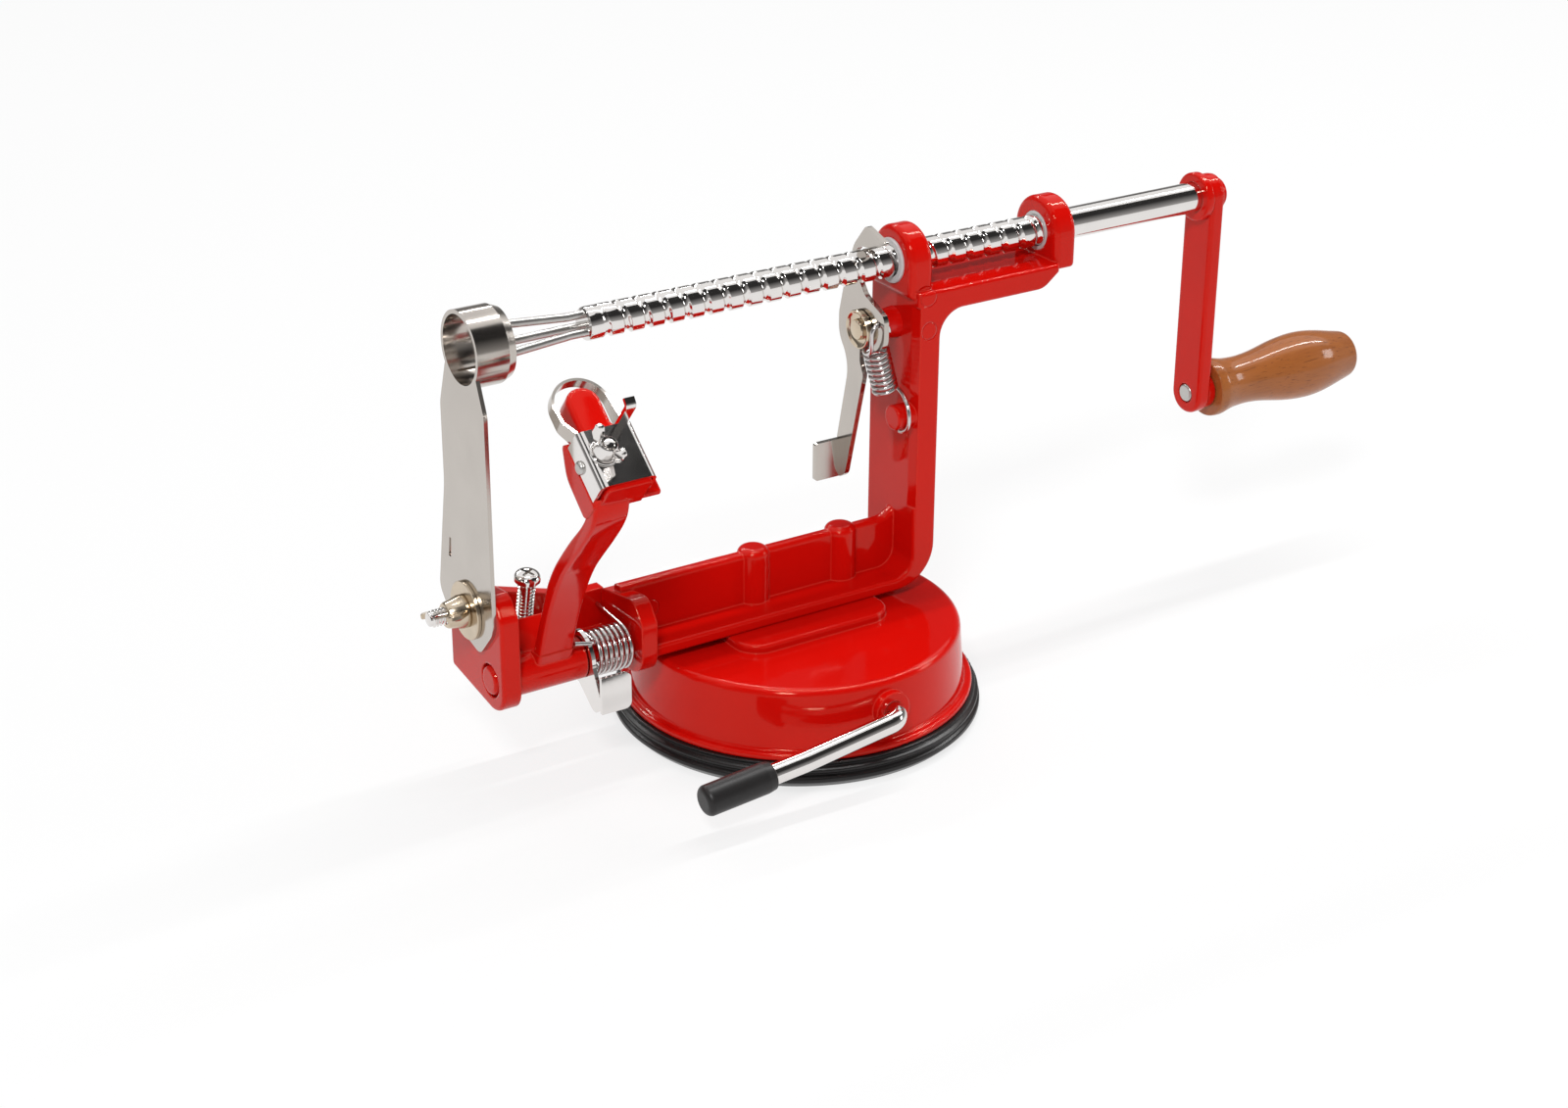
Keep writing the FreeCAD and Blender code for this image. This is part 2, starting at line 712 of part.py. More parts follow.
def beam_web():
    """Upright web on the beam from the right ear to the post."""
    start = RIGHT_EAR_X + 1
    web = plate(
        [
            (start, BEAM_BOTTOM, 0),
            (POST_X + 1, BEAM_BOTTOM, 0),
            (POST_X + 1, WEB_TOP + 3.5, 0),
            (POST_X - 3, WEB_TOP, 6),
            (start, WEB_TOP, 0),
        ],
        xz_plane(SHAFT_Y - WEB_THICK / 2),
        AXIS_Y * WEB_THICK,
    )
    return fillet_edges(web, WEB_THICK * 0.35, lambda c, e: c.z > WEB_TOP - 1 and e.Length > 12)


def clevis_floor():
    """Floor behind the pivot that the stop screw lands on."""
    start = LEFT_EAR_X + LEFT_EAR_THICK / 2
    front = PIVOT_Y + LATCH_RADIUS + LOOSE_FIT
    base = Vector(start, front, BEAM_BOTTOM)
    return Part.makeBox(RIGHT_EAR_X + 1 - start, FRAME_BACK - front, BEAM_THICK, base)


def clevis_wall():
    """Back wall between the ears, higher at the left one."""
    start = LEFT_EAR_X + LEFT_EAR_THICK / 2
    end = RIGHT_EAR_X + 1
    left_rise, right_rise = CLEVIS_WALL_RISE
    outline = [
        (start, BEAM_BOTTOM, 0),
        (end, BEAM_BOTTOM, 0),
        (end, BEAM_TOP + right_rise, 0),
        (end - 9, BEAM_TOP + right_rise, 8),
        (start, BEAM_TOP + left_rise, 0),
    ]
    return plate(outline, xz_plane(FRAME_BACK - CLEVIS_WALL), AXIS_Y * CLEVIS_WALL)


def frame_casting():
    """C-shaped casting: T-section beam with the clevis, post, tray and two bearing heads."""
    features = [beam_web(), clevis_floor(), clevis_wall(), left_ear(), right_ear()]
    features += [*screw_bosses(), spring_stud()]
    features += [bearing_head(x) for x in (FRONT_HEAD_X, REAR_HEAD_X)]
    return tapped(frame_spine().fuse(features), frame_holes()).removeSplitter()


def on_face(value, *faces):
    """Whether a coordinate lies on one of the given faces."""
    return min(abs(value - face) for face in faces) < 0.01


def is_long_rim(centre, edge):
    """Outer rims of the spine, left sharp where other features meet it."""
    return on_face(centre.y, FRAME_FRONT, FRAME_BACK) and centre.x > RIGHT_EAR_X + 1


def bearing_head(x):
    """Round head that carries one shaft bush, with sides running down to the tray."""
    left = SHAFT_Y - HEAD_RADIUS
    right = SHAFT_Y + HEAD_RADIUS
    top = SHAFT_Z + HEAD_RADIUS
    outline = [
        (left, HEAD_BOTTOM, 0.6),
        (right, HEAD_BOTTOM, 0.6),
        (right, top, HEAD_RADIUS - 0.05),
        (left, top, HEAD_RADIUS - 0.05),
    ]
    head = plate(outline, yz_plane(x), AXIS_X * HEAD_THICK)
    return fillet_edges(head, 1.8, lambda c, e: on_face(c.x, x, x + HEAD_THICK))


def screw_bosses():
    """Half-round bosses on the web that take the frame screws from below."""
    bosses = []
    for x in FRAME_SCREW_X:
        foot = Vector(x, SHAFT_Y, BEAM_TOP - 1)
        tip = Vector(x, SHAFT_Y, WEB_TOP + 1)
        boss = rod(SCREW_BOSS_RADIUS, foot, tip)
        bosses.append(fillet_edges(boss, 2.2, lambda c, e: c.z > WEB_TOP + 0.9))
    return bosses


def spring_stud():
    """Cast stud on the post that the pawl spring hooks round."""
    start = Vector(STUD_TIP_X, STUD_Y, STUD_Z)
    length = STUD_REACH + POST_CREASE + 2
    profile = [(0, 0, 0), (STUD_RADIUS, 0, 0.6), (STUD_RADIUS, length, 0), (0, length, 0)]
    return turned(profile, start, AXIS_X)


def frame_holes():
    """Bores of the frame: bushes, pivot pin, screws, slicer bolt and pawl screw."""
    holes = []
    for x in (FRONT_HEAD_X, REAR_HEAD_X):
        start = Vector(x - 1, SHAFT_Y, SHAFT_Z)
        holes.append((BUSH_RADIUS, start, start + AXIS_X * (HEAD_THICK + 2)))
    pin_start = PIVOT_LINE + AXIS_X * (LEFT_EAR_X - 1)
    pin_end = PIVOT_LINE + AXIS_X * (RIGHT_EAR_X + RIGHT_EAR_THICK + 1)
    recess_end = PIVOT_LINE + AXIS_X * (LEFT_EAR_X + PIN_RECESS)
    holes.append((PIVOT_RADIUS, pin_start, pin_end))
    holes.append((PIN_HEAD_RADIUS + LOOSE_FIT, pin_start, recess_end))
    for x in FRAME_SCREW_X:
        foot = Vector(x, SHAFT_Y, BEAM_BOTTOM - 1)
        holes.append((FRAME_SCREW_RADIUS, foot, Vector(x, SHAFT_Y, FRAME_SCREW_TIP + 1)))
    bolt = Vector(LEFT_EAR_X - 1, SLICER_BOLT_Y, SLICER_BOLT_Z)
    holes.append((SLICER_BOLT_RADIUS, bolt, bolt + AXIS_X * (LEFT_EAR_THICK + 2)))
    pawl = Vector(POST_X - 1, PAWL_PIVOT_Y, PAWL_PIVOT_Z)
    holes.append((PAWL_SCREW_RADIUS, pawl, pawl + AXIS_X * (PAWL_SCREW_GRIP + 1)))
    return holes


def frame_screws():
    """Two pan-head machine screws that clamp the frame on the cup from below."""
    seat = BEAM_BOTTOM - CUP_WALL
    length = FRAME_SCREW_TIP - seat
    profile = [
        (0, -3.0, 0),
        (FRAME_SCREW_HEAD, -3.0, 1.4),
        (FRAME_SCREW_HEAD, 0, 0),
        (FRAME_SCREW_RADIUS, 0, 0),
        (FRAME_SCREW_RADIUS, length, 0.6),
        (0, length, 0),
    ]
    screws = [turned(profile, Vector(x, SHAFT_Y, seat), AXIS_Z) for x in FRAME_SCREW_X]
    return Part.makeCompound(screws)


def bush(x, outward):
    """Flanged nylon bush; outward is -1 or 1, the side of the head that its flange is on."""
    face = Vector(x if outward < 0 else x + HEAD_THICK, SHAFT_Y, SHAFT_Z)
    bore = SHAFT_RADIUS + RUNNING_FIT
    profile = [
        (bore, -HEAD_THICK, 0),
        (BUSH_RADIUS, -HEAD_THICK, 0),
        (BUSH_RADIUS, 0, 0),
        (BUSH_FLANGE_RADIUS, 0, 0),
        (BUSH_FLANGE_RADIUS, BUSH_FLANGE, 0.4),
        (bore, BUSH_FLANGE, 0),
    ]
    return turned(profile, face, AXIS_X * outward)


def pivot_pin():
    """Peened pin of the peeling arm, its head sunk in the left ear."""
    length = RIGHT_EAR_X + RIGHT_EAR_THICK - LEFT_EAR_X
    profile = [
        (0, -0.6, 0),
        (PIN_HEAD_RADIUS - 1, -0.6, 1),
        (PIN_HEAD_RADIUS, PIN_RECESS, 0),
        (PIVOT_RADIUS, PIN_RECESS, 0),
        (PIVOT_RADIUS, length + 1.2, 0.6),
        (0, length + 1.2, 0),
    ]
    return turned(profile, PIVOT_LINE + AXIS_X * LEFT_EAR_X, AXIS_X)


def crank_shaft():
    """Steel shaft: threaded length for the pawl, plain length for the rear bush."""
    length = CRANK_X + CRANK_THICK - SHAFT_FRUIT_END
    profile = [
        (0, 0, 0),
        (SHAFT_RADIUS, 0, 0.8),
        (SHAFT_RADIUS, length - CRANK_THICK, 0),
        (SHAFT_TENON, length - CRANK_THICK, 0),
        (SHAFT_TENON, length, 0),
        (0, length, 0),
    ]
    shaft = turned(profile, SHAFT_LINE + AXIS_X * SHAFT_FRUIT_END, AXIS_X)
    holes = []
    for point in prong_points():
        holes.append((PRONG_RADIUS, point - AXIS_X, point + AXIS_X * PRONG_GRIP))
    tail = SHAFT_LINE + AXIS_X * (CRANK_X + CRANK_THICK - 8)
    holes.append((CRANK_SCREW_RADIUS, tail, tail + AXIS_X * 10))
    return tapped(shaft, holes)


def prong_points():
    """Where the prongs leave the shaft's fruit end."""
    points = []
    for i in range(PRONG_COUNT):
        angle = math.radians(90 + 360 * i / PRONG_COUNT)
        across = Vector(0, math.cos(angle), math.sin(angle)) * PRONG_SEAT_CIRCLE
        points.append(SHAFT_LINE + AXIS_X * SHAFT_FRUIT_END + across)
    return points


def fruit_fork():
    """Three pointed prongs set in the shaft's end, splayed a little outwards."""
    outside = 2 * PRONG_RADIUS
    grinder = [
        (0, PRONG_POINT, 0),
        (outside, -PRONG_POINT, 0),
        (outside, 2 * PRONG_POINT, 0),
        (0, 2 * PRONG_POINT, 0),
    ]
    prongs = []
    for point in prong_points():
        out = Vector(0, point.y - SHAFT_Y, point.z - SHAFT_Z).normalize()
        knee = point - AXIS_X * PRONG_KNEE
        spread = PRONG_CIRCLE - PRONG_SEAT_CIRCLE
        shoulder = point - AXIS_X * PRONG_LENGTH + out * spread
        along = (shoulder - knee).normalize()
        tip = shoulder + along * (PRONG_POINT - PRONG_BLUNT)
        path = [(point + AXIS_X * PRONG_GRIP, 0), (knee, PRONG_KNEE), (tip, 0)]
        bar = bent_rod(path, PRONG_RADIUS)
        prongs.append(bar.cut(turned(grinder, shoulder, along)))
    return Part.makeCompound(prongs)


def crank_arm():
    """Cast crank: flat arm with a boss at the shaft and one at the handle."""
    low = SHAFT_Z - CRANK_THROW
    half = CRANK_WIDTH / 2
    arm = plate(
        [
            (SHAFT_Y - half, low - half, half - 0.1),
            (SHAFT_Y + half, low - half, half - 0.1),
            (SHAFT_Y + half, SHAFT_Z + half, half - 0.1),
            (SHAFT_Y - half, SHAFT_Z + half, half - 0.1),
        ],
        yz_plane(CRANK_X),
        AXIS_X * CRANK_THICK,
    )
    arm = fillet_edges(arm, 1.2, lambda c, e: True)
    top = rod(half - 0.2, SHAFT_LINE + AXIS_X * CRANK_X, SHAFT_LINE + AXIS_X * (CRANK_X + CRANK_THICK))
    handle_line = Vector(0, SHAFT_Y, low)
    foot = handle_line + AXIS_X * (CRANK_X + 1)
    boss = rod(half - 0.6, foot, handle_line + AXIS_X * (CRANK_X + CRANK_THICK + CRANK_BOSS))
    arm = arm.fuse([top, boss])
    holes = [
        (SHAFT_TENON, SHAFT_LINE + AXIS_X * (CRANK_X - 1), SHAFT_LINE + AXIS_X * (CRANK_X + 9)),
        (HANDLE_AXLE_RADIUS, handle_line + AXIS_X * (CRANK_X - 1), handle_line + AXIS_X * (CRANK_X + 12)),
        (3.2, handle_line + AXIS_X * (CRANK_X - 1), handle_line + AXIS_X * (CRANK_X + 1)),
    ]
    return tapped(arm, holes).removeSplitter()


def crank_collar():
    """Loose round collar on the shaft between the crank and the rear bush."""
    bore = SHAFT_RADIUS + RUNNING_FIT
    radius = SHAFT_RADIUS + COLLAR_WALL
    profile = [(bore, 0, 0), (radius, 0, 0.8), (radius, CRANK_BOSS, 0.3), (bore, CRANK_BOSS, 0)]
    return turned(profile, SHAFT_LINE + AXIS_X * (CRANK_X - CRANK_BOSS), AXIS_X)


def crank_screw():
    """Pan-head screw that holds the crank on the shaft's tenon."""
    face = CRANK_X + CRANK_THICK
    profile = [
        (0, -8, 0),
        (CRANK_SCREW_RADIUS, -8, 0.4),
        (CRANK_SCREW_RADIUS, 0, 0),
        (CRANK_SCREW_HEAD, 0, 0),
        (CRANK_SCREW_HEAD, 2.8, 1.6),
        (0, 2.8, 0),
    ]
    return turned(profile, SHAFT_LINE + AXIS_X * face, AXIS_X)


def handle_axle():
    """Rivet through the crank and the handle's bore, peened in the crank's recess."""
    start = CRANK_X - 0.2
    length = CRANK_THICK + CRANK_BOSS + HANDLE_GAP + HANDLE_LENGTH - 9
    profile = [
        (0, 0, 0),
        (HANDLE_AXLE_HEAD, 0, 0.8),
        (HANDLE_AXLE_HEAD, 1.2, 0),
        (HANDLE_AXLE_RADIUS, 1.2, 0),
        (HANDLE_AXLE_RADIUS, length, 0.6),
        (0, length, 0),
    ]
    return turned(profile, Vector(start, SHAFT_Y, SHAFT_Z - CRANK_THROW), AXIS_X)


def wooden_handle():
    """Turned wooden grip, waisted near the crank and fullest past the middle."""
    start = CRANK_X + CRANK_THICK + CRANK_BOSS + HANDLE_GAP
    base = Vector(start, SHAFT_Y, SHAFT_Z - CRANK_THROW)
    stations = [
        (9.2, 0.0),
        (9.3, 3.5),
        (8.2, 12.0),
        (8.7, 20.0),
        (10.3, 32.0),
        (HANDLE_RADIUS, 44.0),
        (10.3, 53.0),
        (8.0, HANDLE_LENGTH - 1.0),
        (6.0, HANDLE_LENGTH),
    ]
    curve = Part.BSplineCurve()
    curve.interpolate([Vector(r, 0, h) for r, h in stations])
    top = Vector(0, 0, HANDLE_LENGTH)
    edges = [
        curve.toShape(),
        Part.makeLine(Vector(stations[-1][0], 0, HANDLE_LENGTH), top),
        Part.makeLine(top, Vector()),
        Part.makeLine(Vector(), Vector(stations[0][0], 0, 0)),
    ]
    grip = Part.Face(Part.Wire(edges)).revolve(Vector(), AXIS_Z, 360)
    grip.rotate(Vector(), AXIS_Y, 90)
    grip.translate(base)
    bore_end = base + AXIS_X * (HANDLE_LENGTH - 7)
    return drilled(grip, HANDLE_AXLE_RADIUS + RUNNING_FIT, base - AXIS_X, bore_end)


def on_plate(along, x, up):
    """Point of the blade holder: distance along its slope, x, and height off its top face."""
    tilt = math.radians(HEAD_TILT)
    along_dir = Vector(0, math.cos(tilt), math.sin(tilt))
    up_dir = Vector(0, -math.sin(tilt), math.cos(tilt))
    return Vector(x, PLATE_NEAR_Y, PLATE_NEAR_Z) + along_dir * along + up_dir * up


def plate_side(x):
    """Map (along, up) of the blade holder to space at one x."""
    return lambda u, v: on_plate(u, x, v)


def across_plate(along):
    """Map (x, up) of the blade holder to space at one distance along it."""
    return lambda u, v: on_plate(along, u, v)


def slope_vector():
    """Unit vector up the slope of the blade holder."""
    return on_plate(1, 0, 0) - on_plate(0, 0, 0)


def plate_normal():
    """Unit vector off the blade holder's top face."""
    return on_plate(0, 0, 1) - on_plate(0, 0, 0)


def stop_direction():
    """Unit vector up the stop screw, which leans forwards."""
    lean = math.radians(STOP_LEAN)
    return Vector(0, -math.sin(lean), math.cos(lean))


def peeling_arm():
    """Cast arm: hub on the pivot pin, leaning bar, lug of the stop screw and head."""
    x0, x1 = ARM_X
    top = on_plate(HOLDER_SIDE / 2, x0, -HOLDER_FLANGE - 4)
    bar_path = [
        (PIVOT_Y - 1.2, PIVOT_Z + 1, 0),
        (*ARM_KNEE, 20),
        (top.y, top.z, 0),
    ]
    bar = strip(bar_path, ARM_THICK, yz_plane(x0), AXIS_X * (x1 - x0))
    bar = fillet_edges(bar, EDGE_ROUND, lambda c, e: 20 < e.Length < 60)
    hub = rod(HUB_RADIUS, PIVOT_LINE + AXIS_X * HUB_X[0], PIVOT_LINE + AXIS_X * HUB_X[1])
    lug_top = STOP_FOOT + stop_direction() * 9
    lug_path = [(PIVOT_Y, PIVOT_Z, 0), (lug_top.y, lug_top.z, 0)]
    lug = strip(lug_path, LUG_THICK, yz_plane(LUG_X[0]), AXIS_X * (LUG_X[1] - LUG_X[0]))
    shape = bar.fuse([hub, lug, *arm_head()])
    bolt = on_plate(HOLDER_BOLT_ALONG, HOLDER_BOLT_X, 0)
    pin = (PIVOT_LINE + AXIS_X * (HUB_X[0] - 1), PIVOT_LINE + AXIS_X * (HUB_X[1] + 1))
    holes = [
        (PIVOT_RADIUS + RUNNING_FIT, *pin),
        (STOP_SCREW_RADIUS, STOP_FOOT, STOP_FOOT + stop_direction() * STOP_SCREW_LENGTH),
        (HOLDER_BOLT_RADIUS, bolt, bolt - plate_normal() * HOLDER_BOLT_DEPTH),
    ]
    return tapped(shape, holes).removeSplitter()


def arm_head():
    """Head under the blade holder: core between its flanges with a rounded nose, and its base."""
    inner_x0 = HOLDER_X + HOLDER_SHEET + BLADE_STRIP + HEAD_GAP
    inner_x1 = HOLDER_X + HOLDER_SIDE - HOLDER_SHEET - BLADE_STRIP - HEAD_GAP
    nose_x1 = inner_x0 + NOSE_WIDTH
    top = -HOLDER_SHEET
    base_top = -HOLDER_FLANGE - HEAD_GAP
    nose_end = HOLDER_SIDE + NOSE_REACH
    core_end = HOLDER_SIDE + 1
    round_tip = NOSE_WIDTH / 2 - 0.1
    outline = [
        (inner_x0, -1.2, 0),
        (inner_x1, -1.2, 0),
        (inner_x1, core_end, 0),
        (nose_x1, core_end, 1),
        (nose_x1, nose_end, round_tip),
        (inner_x0, nose_end, round_tip),
    ]
    depth = plate_normal() * HEAD_CORE_DEPTH
    core = plate(outline, lambda u, v: on_plate(v, u, top - HEAD_CORE_DEPTH), depth)
    under_nose = [
        (core_end, top - NOSE_DEPTH, 2),
        (nose_end + 1, top - NOSE_DEPTH, 0),
        (nose_end + 1, top - HEAD_CORE_DEPTH - 1, 0),
        (core_end, top - HEAD_CORE_DEPTH - 1, 0),
    ]
    core = core.cut(plate(under_nose, plate_side(inner_x0 - 1), AXIS_X * HOLDER_SIDE))
    core = fillet_edges(core, 1.5, is_nose_rim)
    base_x1 = ARM_X[1] + 0.2
    left_base = plate(
        [
            (-1.5, base_top, 0.8),
            (core_end, base_top, 0),
            (HOLDER_SIDE + 2.5, base_top - 1.5, 1.5),
            (11.9, base_top - 7.0, 8),
            (-1.0, base_top - 7.6, 2),
            (-1.5, base_top - 1.8, 0.8),
        ],
        plate_side(ARM_X[0] - 0.2),
        AXIS_X * (base_x1 - ARM_X[0] + 0.2),
    )
    right_base = plate(
        [
            (-1.2, base_top - 0.1, 0.8),
            (HOLDER_SIDE - 3, base_top - 0.1, 0.8),
            (8.0, base_top - 3.6, 4),
            (0.0, base_top - 3.2, 1),
            (-1.2, base_top - 1.8, 0.8),
        ],
        plate_side(base_x1 - 1),
        AXIS_X * (HEAD_RIGHT_X - base_x1 + 1),
    )
    return [core, left_base, right_base]


def is_nose_rim(centre, edge):
    """Top rim of the nose, past the edge of the blade holder."""
    offset = centre - on_plate(0, centre.x, -HOLDER_SHEET)
    on_top = abs(offset.dot(plate_normal())) < 0.01
    return on_top and offset.dot(slope_vector()) > HOLDER_SIDE + 2


def stop_screw():
    """Adjustable screw in the arm's lug; its tip meets the floor when the arm swings in."""
    length = STOP_SCREW_LENGTH
    profile = [
        (0, 0, 0),
        (STOP_SCREW_RADIUS, 0, 0.6),
        (STOP_SCREW_RADIUS, length, 0),
        (STOP_SCREW_HEAD, length, 0),
        (STOP_SCREW_HEAD, length + 2.8, 1.6),
        (0, length + 2.8, 0),
    ]
    return turned(profile, STOP_FOOT, stop_direction())


def blade_holder():
    """Folded channel that clamps the peeling blade on the arm's head, with a thumb tab."""
    x0 = HOLDER_X + HOLDER_SHEET / 2
    x1 = HOLDER_X + HOLDER_SIDE - HOLDER_SHEET / 2
    top = -HOLDER_SHEET / 2
    bend = HOLDER_BEND + HOLDER_SHEET / 2
    path = [
        (x0, -HOLDER_FLANGE, 0),
        (x0, top, bend),
        (x1, top, bend),
        (x1, -HOLDER_FLANGE, 0),
    ]
    channel = strip(path, HOLDER_SHEET, across_plate(0), slope_vector() * HOLDER_SIDE)
    far = HOLDER_SIDE - HOLDER_SHEET / 2
    tab_path = [
        (far - 2, top, 0),
        (far, top, 0),
        (far, TAB_HEIGHT, 1.0),
        (far + 2.2, TAB_HEIGHT + 0.6, 0),
    ]
    tab_x = x1 - HOLDER_BEND - HOLDER_SHEET - TAB_WIDTH
    tab = strip(tab_path, HOLDER_SHEET, plate_side(tab_x), AXIS_X * TAB_WIDTH)
    bolt = on_plate(HOLDER_BOLT_ALONG, HOLDER_BOLT_X, 0)
    normal = plate_normal()
    rivet = on_plate(RIVET_ALONG, HOLDER_X, -RIVET_DEPTH)
    holes = [
        (HOLDER_BOLT_RADIUS + 0.2, bolt - normal * 3, bolt + normal),
        (RIVET_RADIUS, rivet - AXIS_X, rivet + AXIS_X * (HOLDER_SIDE + 2)),
    ]
    return tapped(channel.fuse(tab), holes).removeSplitter()


def peeling_blade():
    """Spring-steel loop: legs inside the holder's flanges, bulging out to an arched edge."""
    x0 = HOLDER_X + HOLDER_SHEET + BLADE_STRIP / 2
    x1 = HOLDER_X + HOLDER_SIDE - HOLDER_SHEET - BLADE_STRIP / 2
    reach = HOLDER_SIDE + BLADE_REACH
    arch = (x1 - x0 + BLADE_BULGE) / 2 - 0.1
    outline = [
        (x0, HOLDER_SIDE / 4, 0),
        (x0, HOLDER_SIDE + 1, 3),
        (x0 - BLADE_BULGE, HOLDER_SIDE + 5, 3),
        (x0 - BLADE_BULGE, reach, arch),
        (x1, reach, arch),
        (x1, HOLDER_SIDE / 4, 0),
    ]
    low = 0.2 - HOLDER_FLANGE
    high = -HOLDER_SHEET - HOLDER_BEND - HEAD_GAP
    loop = strip(outline, BLADE_STRIP, lambda u, v: on_plate(v, u, low), plate_normal() * (high - low))
    trim = plate(
        [
            (HOLDER_SIDE + 1, high + 1, 0),
            (HOLDER_SIDE + 1, high, 0),
            (HOLDER_SIDE + 12, low + BLADE_EDGE, 12),
            (reach + 2, low + BLADE_EDGE, 0),
            (reach + 2, high + 1, 0),
        ],
        plate_side(HOLDER_X - BLADE_BULGE - 1),
        AXIS_X * (HOLDER_SIDE + BLADE_BULGE + 2),
    )
    loop = loop.cut(trim)
    rivet = on_plate(RIVET_ALONG, HOLDER_X, -RIVET_DEPTH)
    return drilled(loop, RIVET_RADIUS, rivet, rivet + AXIS_X * HOLDER_SIDE)


def blade_rivets():
    """Domed rivets that hold the blade's legs in the holder's flanges."""
    rivets = []
    grip = HOLDER_SHEET + BLADE_STRIP
    profile = [
        (0, -grip, 0),
        (RIVET_RADIUS, -grip, 0),
        (RIVET_RADIUS, 0, 0),
        (1.9, 0, 0),
        (1.9, 1.0, 0.9),
        (0, 1.0, 0),
    ]
    for x, outward in ((HOLDER_X, -1), (HOLDER_X + HOLDER_SIDE, 1)):
        seat = on_plate(RIVET_ALONG, x, -RIVET_DEPTH)
        rivets.append(turned(profile, seat, AXIS_X * outward))
    return Part.makeCompound(rivets)


def washer(radius, bore, thickness, seat, along):
    """Flat washer on a seat."""
    profile = [(bore, 0, 0), (radius, 0, 0.2), (radius, thickness, 0.3), (bore, thickness, 0)]
    return turned(profile, seat, along)


def wing_nut(bore, hub_radius, seat, along, wing_dir, span):
    """Wing nut: tapered hub and two upswept wings across it."""
    height = 1.25 * hub_radius
    hub = turned(
        [
            (bore, 0, 0),
            (hub_radius, 0, 0.4),
            (hub_radius * 0.78, height, 0.6),
            (bore, height, 0),
        ],
        seat,
        along,
    )
    side = along.cross(wing_dir)
    thick = 1.5

    def to_wing(u, v):
        return seat + wing_dir * u + along * v - side * (thick / 2)

    inner = bore + 0.4
    tip_width = 0.42 * span
    wings = []
    for sign in (-1, 1):
        corners = [
            (sign * inner, 0.6, 0),
            (sign * (hub_radius + 0.4), 0.6, 0.6),
            (sign * span, height * 0.75, tip_width * 0.5),
            (sign * span, height * 1.75, tip_width * 0.4),
            (sign * (span - tip_width), height * 1.75, tip_width * 0.4),
            (sign * inner, height * 0.95, 0),
        ]
        wings.append(plate(corners, to_wing, side * thick))
    return hub.fuse(wings).removeSplitter()


def holder_bolt():
    """Stud that stands up through the blade holder and takes its wing nut."""
    base = on_plate(HOLDER_BOLT_ALONG, HOLDER_BOLT_X, 0)
    profile = [
        (0, -HOLDER_BOLT_DEPTH, 0),
        (HOLDER_BOLT_RADIUS, -HOLDER_BOLT_DEPTH, 0.4),
        (HOLDER_BOLT_RADIUS, HOLDER_BOLT_RISE, 0.5),
        (0, HOLDER_BOLT_RISE, 0),
    ]
    return turned(profile, base, plate_normal())


def holder_washer():
    """Washer between the blade holder and its wing nut."""
    base = on_plate(HOLDER_BOLT_ALONG, HOLDER_BOLT_X, 0)
    return washer(4.0, HOLDER_BOLT_RADIUS + 0.2, HOLDER_WASHER, base, plate_normal())


def holder_wing_nut():
    """Wing nut of the blade holder."""
    base = on_plate(HOLDER_BOLT_ALONG, HOLDER_BOLT_X, HOLDER_WASHER)
    wing_dir = (slope_vector() * 0.946 - AXIS_X * 0.324).normalize()
    return wing_nut(HOLDER_BOLT_RADIUS, 3.3, base, plate_normal(), wing_dir, 6.2)


def slicer_blade():
    """Slicing strip on the left ear, its top rolled into the coring ring round the shaft."""
    face = LEFT_EAR_X - SLICER_SHEET
    bolt_y = SLICER_BOLT_Y
    bolt_z = SLICER_BOLT_Z
    blade = plate(
        [
            (bolt_y - 15, bolt_z - 1.5, 6),
            (bolt_y - 15, SHAFT_Z - 15, 8),
            (SHAFT_Y - 8, SHAFT_Z - 3, 0),
            (SHAFT_Y + 8, SHAFT_Z - 3, 0),
            (SHAFT_Y + 13.3, SHAFT_Z - 19, 8),
            (SHAFT_Y + 13.3, SHAFT_Z - 43, 30),
            (bolt_y + 17.5, bolt_z + 0.5, 5),
            (bolt_y + 11, bolt_z - 6.5, 6),
            (bolt_y - 6.5, bolt_z - 11, 4),
        ],
        yz_plane(face),
        AXIS_X * SLICER_SHEET,
    )
    outer = CORER_BORE + SLICER_SHEET
    ring = turned(
        [
            (CORER_BORE, 0, 0),
            (outer, 0, 0),
            (outer, CORER_LENGTH - 2.5, 0),
            (CORER_BORE + 0.15, CORER_LENGTH, 0),
            (CORER_BORE, CORER_LENGTH, 0),
        ],
        Vector(face, SHAFT_Y, SHAFT_Z),
        AXIS_X,
    )
    seam_corner = Vector(face + SLICER_SHEET + 0.8, SHAFT_Y + 5, SHAFT_Z - CORER_BORE - 3)
    seam = Part.makeBox(CORER_LENGTH, 0.8, CORER_BORE, seam_corner)
    core = rod(CORER_BORE, SHAFT_LINE + AXIS_X * (face - 1), SHAFT_LINE + AXIS_X * (face + 20))
    shape = blade.cut(core).fuse(ring).cut(seam)
    bolt = Vector(face - 1, bolt_y, bolt_z)
    shape = drilled(shape, SLICER_BOLT_RADIUS + 0.2, bolt, bolt + AXIS_X * 4)
    lance = plate(
        [
            (bolt_y + 9.2, bolt_z + 12.5, 0),
            (bolt_y + 10.6, bolt_z + 12.5, 0),
            (bolt_y + 9.6, bolt_z + 18.5, 0),
            (bolt_y + 8.6, bolt_z + 18.5, 0),
        ],
        yz_plane(face - 1),
        AXIS_X * 4,
    )
    return shape.cut(lance).removeSplitter()


